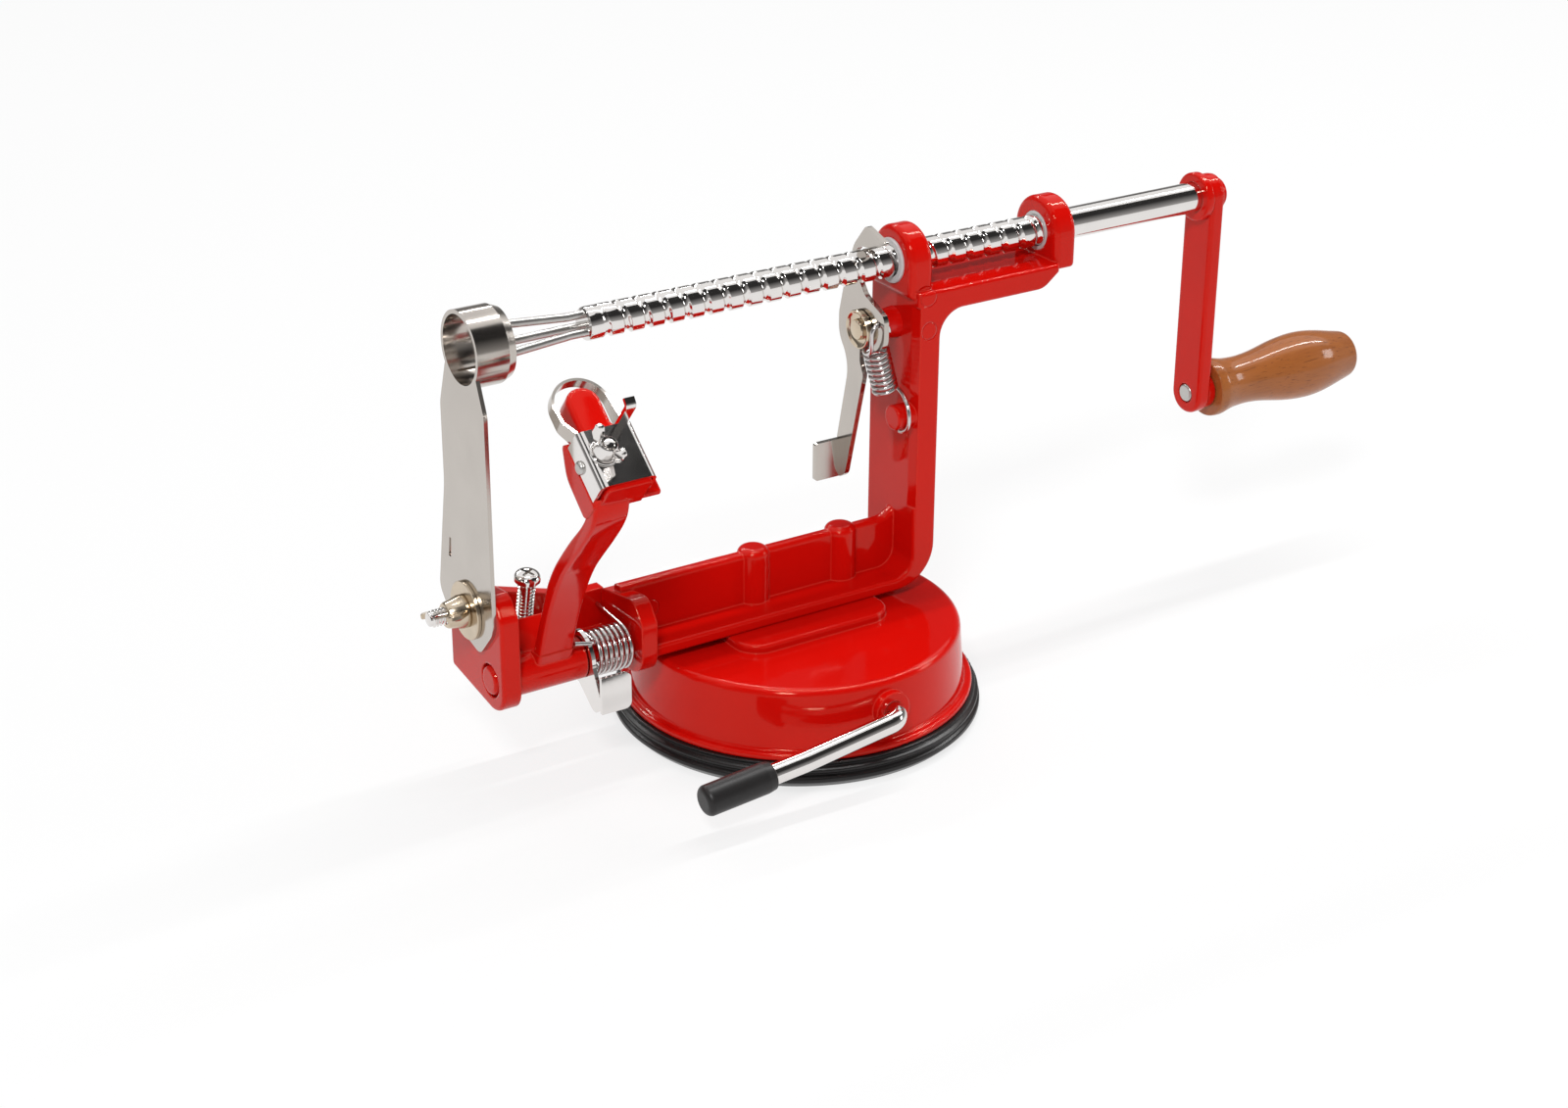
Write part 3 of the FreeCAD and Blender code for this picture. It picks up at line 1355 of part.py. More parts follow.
def slicer_bolt():
    """Stud of the slicing blade, screwed through the left ear."""
    profile = [
        (0, -LEFT_EAR_THICK, 0),
        (SLICER_BOLT_RADIUS, -LEFT_EAR_THICK, 0),
        (SLICER_BOLT_RADIUS, SLICER_BOLT_REACH, 0.6),
        (0, SLICER_BOLT_REACH, 0),
    ]
    base = Vector(LEFT_EAR_X, SLICER_BOLT_Y, SLICER_BOLT_Z)
    return turned(profile, base, -AXIS_X)


def slicer_washer():
    """Wide washer of the slicing blade."""
    base = Vector(LEFT_EAR_X - SLICER_SHEET, SLICER_BOLT_Y, SLICER_BOLT_Z)
    return washer(8.5, SLICER_BOLT_RADIUS + 0.2, SLICER_WASHER, base, -AXIS_X)


def slicer_wing_nut():
    """Wing nut of the slicing blade."""
    base = Vector(LEFT_EAR_X - SLICER_SHEET - SLICER_WASHER, SLICER_BOLT_Y, SLICER_BOLT_Z)
    return wing_nut(SLICER_BOLT_RADIUS, 4.8, base, -AXIS_X, Vector(0, 0.94, 0.34), 12.5)


def arm_latch():
    """Plate on the pivot pin with a thumb tab, which holds the arm swung out."""
    ring = rod(LATCH_RADIUS, PIVOT_LINE + AXIS_X * LATCH_X, PIVOT_LINE + AXIS_X * (LATCH_X + LATCH_SHEET))
    tail = plate(
        [
            (PIVOT_Y - 7.9, PIVOT_Z, 0),
            (PIVOT_Y + 1, PIVOT_Z - 7.5, 0),
            (PIVOT_Y - 8.5, PIVOT_Z - 14.5, 3),
            (PIVOT_Y - 13.5, PIVOT_Z - 11, 2),
        ],
        yz_plane(LATCH_X),
        AXIS_X * LATCH_SHEET,
    )
    tab = plate(
        [
            (LATCH_X, PIVOT_Z - 1.5, 0),
            (LATCH_X + 9.5, PIVOT_Z - 1.5, 2),
            (LATCH_X + 9.5, PIVOT_Z - 12.8, 2),
            (LATCH_X, PIVOT_Z - 12.8, 0),
        ],
        xz_plane(PIVOT_Y - 13.2),
        AXIS_Y * LATCH_SHEET,
    )
    start = PIVOT_LINE + AXIS_X * (LATCH_X - 1)
    shape = ring.fuse([tail, tab])
    return drilled(shape, PIVOT_RADIUS + RUNNING_FIT, start, start + AXIS_X * 4)


def arm_spring():
    """Torsion spring on the pivot pin, one leg at the arm's bar and one against the wall."""
    base = PIVOT_LINE + AXIS_X * ARM_SPRING_X
    frame = (base, AXIS_Z, AXIS_Y, AXIS_X)
    radius = ARM_SPRING_RADIUS
    start, t_start = helix_point(frame, radius, ARM_SPRING_PITCH, 0)
    end, t_end = helix_point(frame, radius, ARM_SPRING_PITCH, ARM_SPRING_TURNS)
    corner = start - t_start * 6.2
    bar_side = Vector(ARM_X[1] + LOOSE_FIT, corner.y, corner.z + 1.6)
    wall_leg = FRAME_BACK - CLEVIS_WALL - PIVOT_Y - LOOSE_FIT
    edges = bent_path([(bar_side, 0), (corner, 2.0), (start, 0)])
    edges += helix_edges(frame, radius, ARM_SPRING_PITCH, 0, ARM_SPRING_TURNS)
    edges.append(Part.makeLine(end, end + t_end * wall_leg))
    report_gap("arm_spring", edges, ARM_SPRING_WIRE / 2)
    return wire_tube(edges, ARM_SPRING_WIRE / 2)


def pawl_lever():
    """Sheet lever on the post: a claw over the shaft's thread, a hook lobe and a thumb tab."""
    y = PAWL_PIVOT_Y
    z = PAWL_PIVOT_Z
    foot = z - PAWL_DROP
    outline = [
        (y + 12.2, z + 1.5, 9),
        (y + 9.5, z + 12.0, 12),
        (SHAFT_Y + 5.5, SHAFT_Z + 5.0, 10),
        (SHAFT_Y - 0.5, SHAFT_Z + 12.2, 2),
        (SHAFT_Y - 10.8, SHAFT_Z + 9.2, 0.5),
        (SHAFT_Y - 4.0, SHAFT_Z + 6.0, 4),
        (SHAFT_Y + PAWL_NOTCH, SHAFT_Z + PAWL_NOTCH, PAWL_NOTCH - 0.2),
        (SHAFT_Y + PAWL_NOTCH, SHAFT_Z - 2, 1),
        (y - 1.0, z + 10.5, 4),
        (HOOK_Y - 3.0, z + HOOK_RISE + 2.7, 3),
        (HOOK_Y - 3.0, z - 4.8, 5),
        (y + 1.0, z - 4.8, 1),
        (y + 1.0, z - 10.6, 3),
        (y - 0.9, z - 14.4, 1.5),
        (y + 7.9, foot + 3, 4),
        (y + 12.3, foot, 1.5),
        (y + 12.3, foot + 14, 0),
        (y + 6.4, z - 12.2, 12),
        (y + 12.2, z - 5.5, 9),
    ]
    lever = plate(outline, yz_plane(PAWL_X), AXIS_X * PAWL_SHEET)
    tab = plate(
        [
            (PAWL_X + PAWL_SHEET, foot + 1.5, 0),
            (PAWL_X + PAWL_SHEET, foot + 13.5, 0),
            (PAWL_X - TAB_REACH, foot + 13.5, 0.8),
            (PAWL_X - TAB_REACH, foot + 1.5, 0.8),
        ],
        xz_plane(y + 12.3 - PAWL_SHEET),
        AXIS_Y * PAWL_SHEET,
    )
    pivot = Vector(PAWL_X - 1, y, z)
    hook = PAWL_HOOK - AXIS_X * 2
    holes = [
        (PAWL_SCREW_RADIUS + RUNNING_FIT, pivot, pivot + AXIS_X * 4),
        (HOOK_HOLE, hook, hook + AXIS_X * 4),
    ]
    return tapped(lever.fuse(tab), holes).removeSplitter()


def pawl_screw():
    """Shouldered screw of the pawl: cup washer in front, spacer boss behind."""
    stand_off = POST_X - PAWL_X
    profile = [
        (0, -2.4, 0),
        (3.4, -2.4, 1.2),
        (3.4, -1.2, 0),
        (PAWL_CUP_RADIUS, -1.2, 0.5),
        (PAWL_CUP_RADIUS, -LOOSE_FIT, 0),
        (PAWL_SCREW_RADIUS, -LOOSE_FIT, 0),
        (PAWL_SCREW_RADIUS, PAWL_SHEET + LOOSE_FIT, 0),
        (3.6, PAWL_SHEET + LOOSE_FIT, 0),
        (4.8, stand_off, 0),
        (PAWL_SCREW_RADIUS, stand_off, 0),
        (PAWL_SCREW_RADIUS, stand_off + PAWL_SCREW_GRIP, 0),
        (0, stand_off + PAWL_SCREW_GRIP, 0),
    ]
    return turned(profile, Vector(PAWL_X, PAWL_PIVOT_Y, PAWL_PIVOT_Z), AXIS_X)


def pawl_spring():
    """Extension spring from the pawl's hook hole down round the stud on the post."""
    coil_top = Vector(COIL_TOP[0], COIL_TOP[1], SHAFT_Z + COIL_TOP[2])
    coil_bottom = Vector(COIL_BOTTOM[0], COIL_BOTTOM[1], SHAFT_Z + COIL_BOTTOM[2])
    coil_axis = (coil_bottom - coil_top).normalize()
    across = coil_axis.cross(AXIS_Y).normalize()
    frame = (coil_top, across, coil_axis.cross(across), coil_axis)
    radius = PAWL_SPRING_RADIUS
    pitch = coil_top.distanceToPoint(coil_bottom) / PAWL_SPRING_TURNS
    first = -0.5
    last = first + PAWL_SPRING_TURNS
    coil = helix_edges(frame, radius, pitch, first, last)
    report_gap("pawl_spring", coil, PAWL_SPRING_WIRE / 2)
    start, t_start = helix_point(frame, radius, pitch, first)
    end, t_end = helix_point(frame, radius, pitch, last)
    behind = PAWL_HOOK + AXIS_X * HOOK_RADIUS - AXIS_Z * HOOK_RADIUS
    ahead = PAWL_HOOK - AXIS_X * HOOK_RADIUS - AXIS_Z * HOOK_RADIUS
    upper = biarc(behind, Vector(0, 0, 1), PAWL_HOOK, Vector(-1, 0, 0))
    upper += biarc(PAWL_HOOK, Vector(-1, 0, 0), ahead, Vector(0, 0, -1))
    upper += biarc(ahead, Vector(0, 0, -1), start, t_start)
    hook_radius = STUD_RADIUS + PAWL_SPRING_WIRE / 2 + LOOSE_FIT
    stud = Vector((STUD_TIP_X + POST_X) / 2, STUD_Y, STUD_Z)
    front = stud - AXIS_Y * hook_radius
    under = stud - AXIS_Z * hook_radius
    hook = biarc(end, t_end, front, Vector(0, 0, -1))
    turn = Part.Arc(front, stud - (AXIS_Y + AXIS_Z) * (hook_radius / math.sqrt(2)), under)
    edges = upper + coil + hook + [turn.toShape()]
    return wire_tube(edges, PAWL_SPRING_WIRE / 2)


NODES = {
    "suction_pad": suction_pad,
    "pad_stud": pad_stud,
    "base_cup": base_cup,
    "frame_casting": frame_casting,
    "frame_screws": frame_screws,
    "front_bush": lambda: bush(FRONT_HEAD_X, -1),
    "rear_bush": lambda: bush(REAR_HEAD_X, 1),
    "pivot_pin": pivot_pin,
    "lever_rod": lever_rod,
    "lever_cap": lever_cap,
    "crank_shaft": crank_shaft,
    "fruit_fork": fruit_fork,
    "crank_arm": crank_arm,
    "crank_collar": crank_collar,
    "crank_screw": crank_screw,
    "handle_axle": handle_axle,
    "wooden_handle": wooden_handle,
    "peeling_arm": peeling_arm,
    "stop_screw": stop_screw,
    "blade_holder": blade_holder,
    "peeling_blade": peeling_blade,
    "blade_rivets": blade_rivets,
    "holder_bolt": holder_bolt,
    "holder_washer": holder_washer,
    "holder_wing_nut": holder_wing_nut,
    "slicer_blade": slicer_blade,
    "slicer_bolt": slicer_bolt,
    "slicer_washer": slicer_washer,
    "slicer_wing_nut": slicer_wing_nut,
    "arm_latch": arm_latch,
    "arm_spring": arm_spring,
    "pawl_lever": pawl_lever,
    "pawl_screw": pawl_screw,
    "pawl_spring": pawl_spring,
}


def main():
    """Write one STEP file per piece."""
    os.makedirs("parts", exist_ok=True)
    for name, make in NODES.items():
        shape = make()
        shape.exportStep("parts/" + name + ".step")


main()
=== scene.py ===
import math

import bmesh
import bpy
from bpy.props import FloatProperty, FloatVectorProperty, IntProperty, PointerProperty
from mathutils import Matrix, Vector


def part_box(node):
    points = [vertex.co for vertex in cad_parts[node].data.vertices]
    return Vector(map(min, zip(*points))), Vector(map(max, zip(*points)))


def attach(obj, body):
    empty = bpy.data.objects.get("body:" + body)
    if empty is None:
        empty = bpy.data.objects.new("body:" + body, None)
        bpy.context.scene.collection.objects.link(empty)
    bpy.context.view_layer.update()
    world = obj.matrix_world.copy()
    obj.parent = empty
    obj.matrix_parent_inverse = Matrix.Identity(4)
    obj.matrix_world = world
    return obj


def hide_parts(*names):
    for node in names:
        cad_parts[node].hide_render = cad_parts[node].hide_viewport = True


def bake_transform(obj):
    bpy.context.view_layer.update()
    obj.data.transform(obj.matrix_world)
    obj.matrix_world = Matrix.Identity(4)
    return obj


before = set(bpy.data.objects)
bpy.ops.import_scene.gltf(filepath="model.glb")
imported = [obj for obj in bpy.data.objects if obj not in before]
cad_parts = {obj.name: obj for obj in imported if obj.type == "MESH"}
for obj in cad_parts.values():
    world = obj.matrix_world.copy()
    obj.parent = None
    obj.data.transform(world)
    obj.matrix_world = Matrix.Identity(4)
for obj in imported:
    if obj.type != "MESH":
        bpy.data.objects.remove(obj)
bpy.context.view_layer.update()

bl_info = {
    "name": "Apple Peeler Looks",
    "version": (1, 0, 0),
    "blender": (4, 5, 0),
    "location": "3D View > Sidebar > Peeler",
    "description": "Finishes, threads and studio for a hand-cranked apple peeler",
    "category": "Object",
}

MM = 0.001

# Where the camera stands, as fitted to the base, the shaft and the frame
CAMERA_PLACE = Vector((-0.40343, -0.62456, 0.39717))
CAMERA_TURN = math.radians(-32.564)
CAMERA_RISE = math.radians(25.139)
CAMERA_ROLL = math.radians(0.366)
CAMERA_LENS = 64.246
SENSOR_WIDTH = 36.0
CLOSEST_VIEW = 0.05
FURTHEST_VIEW = 20.0

# Floor: half its width, how far below the pad it lies, how far it is lifted to white where it is near, and
# the distances between which the rest of the lift comes
FLOOR_REACH = 6.0
FLOOR_DROP = 0.05 * MM
FLOOR_LIFT = 0.76
FADE_START = 0.5
FADE_END = 2.5

# Lamps, each with its place, width and height in metres
LAMPS = {
    "key": ((-0.75, -0.85, 1.15), 0.3, 0.2),
    "strip": ((0.55, 0.15, 1.3), 1.7, 0.035),
    "rear": ((0.1, 1.15, 0.95), 1.2, 0.035),
    "side": ((1.1, -0.5, 0.5), 0.2, 0.4),
}
LAMP_TARGET = Vector((0.02, 0.0, 0.08))
WHITE = (1.0, 1.0, 1.0)

# Dark dome: its cloth, its faces round and up, its foot's angle, the heights between which it darkens,
# and in degrees the middle, the half width and the fall of its high side
CLOTH_TONE = (1.0, 0.98, 0.97)
DOME_COLUMNS = 60
DOME_ROWS = 8
DOME_FOOT = math.radians(1.0)
DOME_GLOW_HEIGHTS = (0.02, 1.1)
HIGH_SIDE = -91.0
HIGH_SIDE_REACH = 84.0
HIGH_SIDE_FALL = 14.0

# Edges that turn by more than the angle stay crisp, and points nearer than the distance are one
CRISP_ANGLE = math.radians(32)
SAME_POINT = 1e-6

# Shaft line and fasteners that get their threads here
SHAFT_Y = 6.0 * MM
SHAFT_Z = 131.0 * MM
SHAFT_RADIUS = 4.75 * MM
TENON_LENGTH = 5.0 * MM
TENON_RADIUS = 3.6 * MM
THREAD_START = -62.0 * MM
THREAD_END = 88.0 * MM
STOP_FOOT = Vector((-86.5, 9.0, 37.4)) * MM
STOP_UP = Vector((0.0, -0.20791, 0.97815))
STOP_LENGTH = 23.1 * MM
STOP_RADIUS = 2.5 * MM
STOP_ROOT = 1.95 * MM
STOP_PITCH = 1.15 * MM
STOP_HEAD = 3.8 * MM
STOP_DOME = 1.8 * MM
HOLDER_BASE = Vector((-85.2, -39.6155, 113.8411)) * MM
HOLDER_UP = Vector((0.0, -0.63203, 0.77494))
HOLDER_DEPTH = 7.0 * MM
HOLDER_RISE = 5.3 * MM
HOLDER_RADIUS = 2.0 * MM
SLICER_BASE = Vector((-102.0, 8.0, 53.5)) * MM
SLICER_DEPTH = 5.6 * MM
SLICER_RISE = 13.5 * MM
SLICER_RADIUS = 2.5 * MM
STUD_PITCH = 1.0 * MM
STUD_THREAD_DEPTH = 0.45 * MM
THREAD_FADE = 0.8 * MM

# Handle, as distances from its inner end and radii
HANDLE_START = Vector((158.5, 6.0, 65.5)) * MM
HANDLE_BORE = 2.35 * MM
HANDLE_BORE_DEPTH = 52.5 * MM
HANDLE_SHAPE = (
    (0.0, 8.7),
    (0.5, 9.1),
    (2.6, 9.3),
    (4.4, 9.0),
    (7.5, 8.3),
    (10.5, 7.95),
    (14.0, 7.8),
    (17.5, 7.95),
    (21.5, 8.4),
    (25.5, 9.1),
    (29.5, 9.85),
    (33.5, 10.4),
    (38.0, 10.75),
    (42.0, 10.7),
    (46.0, 10.25),
    (50.0, 9.5),
    (54.0, 8.6),
    (57.0, 7.95),
    (58.3, 7.6),
    (59.1, 7.0),
    (59.45, 6.2),
    (59.5, 5.6),
)

# Seats and wing directions of the wing nuts
SLICER_NUT_SEAT = Vector((-104.4, 8.0, 53.5)) * MM
SLICER_WING = Vector((0.0, 0.94, -0.34))
HOLDER_WASHER = 0.8 * MM
HOLDER_WING = Vector((-0.324, 0.733, 0.598))

# Hubs, wings and wing thickness of the nuts in millimetres; each corner is (outwards, upwards, radius)
SLICER_HUB = 4.8
SLICER_WINGS = (
    (2.9, 0.8, 0),
    (5.2, 0.9, 1.0),
    (11.9, 4.9, 2.0),
    (12.4, 9.9, 2.2),
    (8.4, 9.9, 1.6),
    (2.9, 5.4, 0),
)
HOLDER_HUB = 3.3
HOLDER_WINGS = (
    (2.3, 0.5, 0),
    (3.5, 0.6, 0.6),
    (5.9, 2.6, 1.1),
    (6.1, 6.9, 1.3),
    (3.7, 6.9, 0.9),
    (2.3, 3.8, 0),
)
WING_THICKNESS = 1.6
WING_CHAMFER = 0.35

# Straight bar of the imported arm, cut out between the hub and the head, in millimetres as (y, z)
OLD_BAR_SIDES = (-90.5, -78.5)
OLD_BAR = ((-2.3, 42.3), (-18.0, 75.0), (-27.0, 104.55), (-38.0, 94.65), (-28.0, 75.0), (-13.0, 42.3))

# Bent bar of the arm in millimetres: its sides, the round of its edges, and (height, front, back) places
BAR_SIDES = (-90.1, -78.9)
BAR_ROUND = 1.3
BAR_SECTIONS = (
    (37.0, -6.8, -1.9),
    (43.0, -8.9, -4.0),
    (50.0, -11.5, -6.8),
    (58.0, -14.8, -10.0),
    (66.5, -19.2, -13.4),
    (73.0, -23.4, -17.2),
    (78.0, -27.6, -21.1),
    (85.0, -33.9, -27.2),
    (92.0, -39.7, -33.9),
    (97.0, -42.4, -37.0),
    (102.5, -43.2, -37.4),
)

# Where each spring would stop following the frame and begin to follow the arm or the pawl; hook_up is
# given these places but does not read them
ARM_COIL_START = (-60.0 * MM, -1.8 * MM, 35.4 * MM)
ARM_COIL_END = (-71.5 * MM, -1.8 * MM, 35.4 * MM)
PAWL_COIL_START = (32.3 * MM, 2.5 * MM, 91.4 * MM)
PAWL_COIL_END = (28.4 * MM, 2.5 * MM, 105.3 * MM)

# Pawl screw, as distances from the pawl's front face and radii
PAWL_PIVOT = Vector((26.0, 6.5, 111.6)) * MM
PAWL_PIVOT_SHAPE = (
    (-2.4, 0.0),
    (-2.4, 2.2),
    (-2.2, 2.8),
    (-1.6, 3.1),
    (-0.9, 3.2),
    (-0.9, 3.6),
    (-1.1, 4.4),
    (-1.6, 5.0),
    (-1.9, 5.3),
    (-1.9, 5.6),
    (-1.6, 5.8),
    (-0.3, 5.8),
    (-0.3, 2.0),
    (1.9, 2.0),
    (1.9, 3.6),
    (11.0, 4.8),
    (11.0, 2.0),
    (17.0, 2.0),
    (17.0, 0.0),
)

# Where the casting's boss ends and the pawl's metal begins, along x
PAWL_BOSS_EDGE = (27.3 * MM, 27.5 * MM)

# Round marks that the casting's ejector pins left, as (x, z, radius), all on faces in front of MARK_LIMIT
EJECTOR_MARKS = (
    (40.8 * MM, 112.0 * MM, 2.6 * MM),
    (40.3 * MM, 122.3 * MM, 2.7 * MM),
    (-47.3 * MM, 41.2 * MM, 2.6 * MM),
)
MARK_LINE = 0.3 * MM
MARK_LIMIT = 5.0 * MM


class Term:
    """A socket that takes part in sums; each sum adds its Math node."""

    def __init__(self, finish, socket):
        self.finish = finish
        self.socket = socket

    def maths(self, operation, *terms):
        return self.finish.node("ShaderNodeMath", {"operation": operation}, dict(enumerate(terms)))

    def __add__(self, other):
        return self.maths("ADD", self, other)

    __radd__ = __add__

    def __sub__(self, other):
        return self.maths("SUBTRACT", self, other)

    def __rsub__(self, other):
        return self.maths("SUBTRACT", other, self)

    def __mul__(self, other):
        return self.maths("MULTIPLY", self, other)

    __rmul__ = __mul__

    def __truediv__(self, other):
        return self.maths("DIVIDE", self, other)

    def __rtruediv__(self, other):
        return self.maths("DIVIDE", other, self)

    def __pow__(self, power):
        return self.maths("POWER", self, power)

    def __rpow__(self, base):
        return self.maths("POWER", base, self)

    def __abs__(self):
        return self.maths("ABSOLUTE", self)

    def below(self, other):
        return self.maths("LESS_THAN", self, other)

    def at_least(self, other):
        return self.maths("MAXIMUM", self, other)

    def at_most(self, other):
        return self.maths("MINIMUM", self, other)


class Finish:
    """A material, or the world, made of nodes in the frame's own metres."""

    def __init__(self, name, store=None):
        store = bpy.data.materials if store is None else store
        self.holder = store.new(name)
        self.holder.use_nodes = True
        self.tree = self.holder.node_tree
        self.tree.nodes.clear()
        self.place = self.node("ShaderNodeTexCoord", output="Object")

    def node(self, kind, settings=None, sockets=None, output=0):
        """Add a node: its settings first, then the values or links of its sockets."""
        made = self.tree.nodes.new(kind)
        for key, value in (settings or {}).items():
            if key == "stops":
                self.set_stops(made.color_ramp, value)
            else:
                setattr(made, key, value)
        for key, value in (sockets or {}).items():
            socket = made.inputs[key]
            if isinstance(value, Term):
                self.tree.links.new(value.socket, socket)
            elif socket.type == "RGBA" and len(value) == 3:
                socket.default_value = (*value, 1.0)
            else:
                socket.default_value = value
        return Term(self, made.outputs[output])

    @staticmethod
    def set_stops(ramp, stops):
        """Give a colour ramp its (position, colour) stops."""
        while len(ramp.elements) > 1:
            ramp.elements.remove(ramp.elements[-1])
        for number, (position, colour) in enumerate(stops):
            element = ramp.elements[0] if number == 0 else ramp.elements.new(position)
            element.position = position
            element.color = (*colour, 1.0)

    def stretched(self, x, y, z):
        """The place with each of its axes scaled, so that a pattern runs along one."""
        return self.node("ShaderNodeVectorMath", {"operation": "MULTIPLY"}, {0: self.place, 1: (x, y, z)})

    def noise(self, scale, detail=2.0, roughness=0.5, distortion=0.0, place=None):
        """Cloudy value from 0 to 1; scale is in cycles per metre."""
        return self.node(
            "ShaderNodeTexNoise",
            None,
            {
                "Vector": place or self.place,
                "Scale": scale,
                "Detail": detail,
                "Roughness": roughness,
                "Distortion": distortion,
            },
        )

    def axes(self):
        """The x, y and z of the place."""
        split = self.node("ShaderNodeSeparateXYZ", None, {0: self.place})
        sockets = split.socket.node.outputs
        return [Term(self, socket) for socket in sockets]

    def band(self, value, low, high):
        """0 below low, 1 above high and even between them."""
        return self.node(
            "ShaderNodeMapRange",
            {"clamp": True},
            {"Value": value, "From Min": low, "From Max": high},
        )

    def mix(self, share, first, second):
        """Colour between two colours."""
        return self.node(
            "ShaderNodeMix",
            {"data_type": "RGBA"},
            {0: share, 6: first, 7: second},
            output=2,
        )

    def bump(self, height, depth, normal=None):
        """Normal of a surface raised by height, from 0 to 1, times depth in metres."""
        sockets = {"Height": height, "Distance": depth, "Strength": 1.0}
        if normal:
            sockets["Normal"] = normal
        return self.node("ShaderNodeBump", None, sockets)

    def soft_edge(self, radius):
        """Normal that rolls over sharp edges with a small radius."""
        return self.node("ShaderNodeBevel", {"samples": 6}, {"Radius": radius})

    def surface(self, **sockets):
        """End the tree in a surface shader with these sockets, spaces written as underscores."""
        named = {key.replace("_", " "): value for key, value in sockets.items()}
        shader = self.node("ShaderNodeBsdfPrincipled", None, named)
        self.end_in(shader)
        return self

    def end_in(self, shader, output="ShaderNodeOutputMaterial"):
        """Link a shader to the output."""
        self.tree.links.new(shader.socket, self.tree.nodes.new(output).inputs["Surface"])


def tint(colour, share):
    """A colour made lighter or darker by a share."""
    return tuple(min(1.0, channel * share) for channel in colour[:3])


def enamel(look, name, marks=()):
    """Gloss stove enamel over a casting, with its slow waves, fine ripple and round marks, and lighter
    edges: thinner enamel there, and a painted highlight.
    """
    finish = Finish(name)
    cloud = finish.noise(38.0, 3.0)
    flow = finish.noise(11.0, 1.0)
    rolled = finish.soft_edge(look.edge_radius)
    shape = finish.node("ShaderNodeNewGeometry", output="Normal")
    facing = finish.node(
        "ShaderNodeVectorMath", {"operation": "DOT_PRODUCT"}, {0: rolled, 1: shape}, output="Value"
    )
    # Edge mask from the rolled normal: the enamel thins over edges, and the lighter colour there is also a
    # painted highlight
    edge_thinning_and_highlight = finish.band(1 - facing, 0.01, 0.18)
    deep = finish.mix(cloud * 0.6 + flow * 0.4, tint(look.colour, 0.86), tint(look.colour, 1.1))
    colour = finish.mix(edge_thinning_and_highlight * 0.5, deep, look.edge_thinning_and_highlight_colour[:])
    waves = finish.noise(85.0, 1.0) * look.wave_height
    ripple = finish.noise(430.0, 1.0) * look.ripple_height
    height = waves + ripple
    x, y, z = finish.axes()
    for mark_x, mark_z, radius in marks:
        away = ((x - mark_x) ** 2.0 + (z - mark_z) ** 2.0) ** 0.5
        groove = (1 - abs(away - radius) / MARK_LINE).at_least(0.0)
        height = height - groove * y.below(MARK_LIMIT) * look.mark_depth
    normal = finish.bump(height, 1.0, rolled)
    return finish.surface(
        Base_Color=colour,
        Roughness=cloud * 0.05 + look.gloss_roughness,
        Specular_IOR_Level=look.gloss_level,
        Specular_Tint=look.gloss_tint[:],
        Normal=normal,
    )


def plating(look, name, wave=1.0):
    """Bright plating with faint drawing waves and a little haze."""
    finish = Finish(name)
    haze = finish.noise(120.0, 3.0)
    waves = finish.noise(160.0, 1.0)
    normal = finish.bump(waves * wave, look.plate_wave)
    return finish.surface(
        Base_Color=finish.mix(haze, tint(look.plate_colour, 0.94), tint(look.plate_colour, 1.03)),
        Metallic=1.0,
        Roughness=haze * 0.07 + look.plate_roughness,
        Normal=normal,
    )


def polished_sheet(look, name, along):
    """Rolled and polished sheet steel, with fine streaks along one axis."""
    finish = Finish(name)
    streaks = finish.noise(1.0, 2.0, place=finish.stretched(*along))
    haze = finish.noise(70.0, 3.0)
    bend = finish.noise(26.0, 0.0)
    height = streaks * look.streak_depth + bend * look.sheet_bend
    normal = finish.bump(height, 1.0)
    return finish.surface(
        Base_Color=finish.mix(haze, tint(look.sheet_colour, 0.9), tint(look.sheet_colour, 1.06)),
        Metallic=1.0,
        Roughness=streaks * 0.06 + haze * 0.05 + look.sheet_roughness,
        Normal=normal,
    )


def plain_steel(look, name, colour, roughness):
    """Plain turned or drawn steel, a little dull and uneven."""
    finish = Finish(name)
    haze = finish.noise(260.0, 4.0)
    normal = finish.bump(haze, look.streak_depth)
    return finish.surface(
        Base_Color=finish.mix(haze, tint(colour, 0.82), tint(colour, 1.08)),
        Metallic=1.0,
        Roughness=haze * 0.16 + roughness,
        Normal=normal,
    )


def pivot_hardware(settings, name):
    """Tan plated cup washer in front of the pawl, and the casting's own boss behind it."""
    look = settings.metal
    finish = Finish(name)
    across = finish.axes()[0]
    haze = finish.noise(200.0, 3.0)
    boss = finish.band(across, *PAWL_BOSS_EDGE)
    tan = finish.mix(haze, tint(look.cup_colour, 0.85), tint(look.cup_colour, 1.1))
    return finish.surface(
        Base_Color=finish.mix(boss, tan, settings.enamel.colour[:]),
        Metallic=1 - boss,
        Roughness=haze * 0.08 + 0.12,
        Specular_IOR_Level=0.36,
        Normal=finish.bump(haze, look.streak_depth),
    )


def rubber(look, name, colour, roughness, grain):
    """Moulded black rubber or vinyl with a fine skin."""
    finish = Finish(name)
    skin = finish.noise(900.0, 3.0)
    lumps = finish.noise(70.0, 2.0)
    height = skin * look.skin_depth + lumps * grain
    return finish.surface(
        Base_Color=finish.mix(lumps, tint(colour, 0.75), tint(colour, 1.35)),
        Roughness=lumps * 0.14 + skin * 0.06 + roughness,
        Specular_IOR_Level=0.35,
        Normal=finish.bump(height, 1.0),
    )


def bearing_plastic(look, name):
    """Pale grey bearing plastic, slightly rubbed."""
    finish = Finish(name)
    rub = finish.noise(180.0, 3.0)
    return finish.surface(
        Base_Color=finish.mix(rub, tint(look.bush_colour, 0.82), tint(look.bush_colour, 1.08)),
        Roughness=rub * 0.2 + 0.3,
        Normal=finish.bump(rub, look.skin_depth, finish.soft_edge(0.2 * MM)),
    )


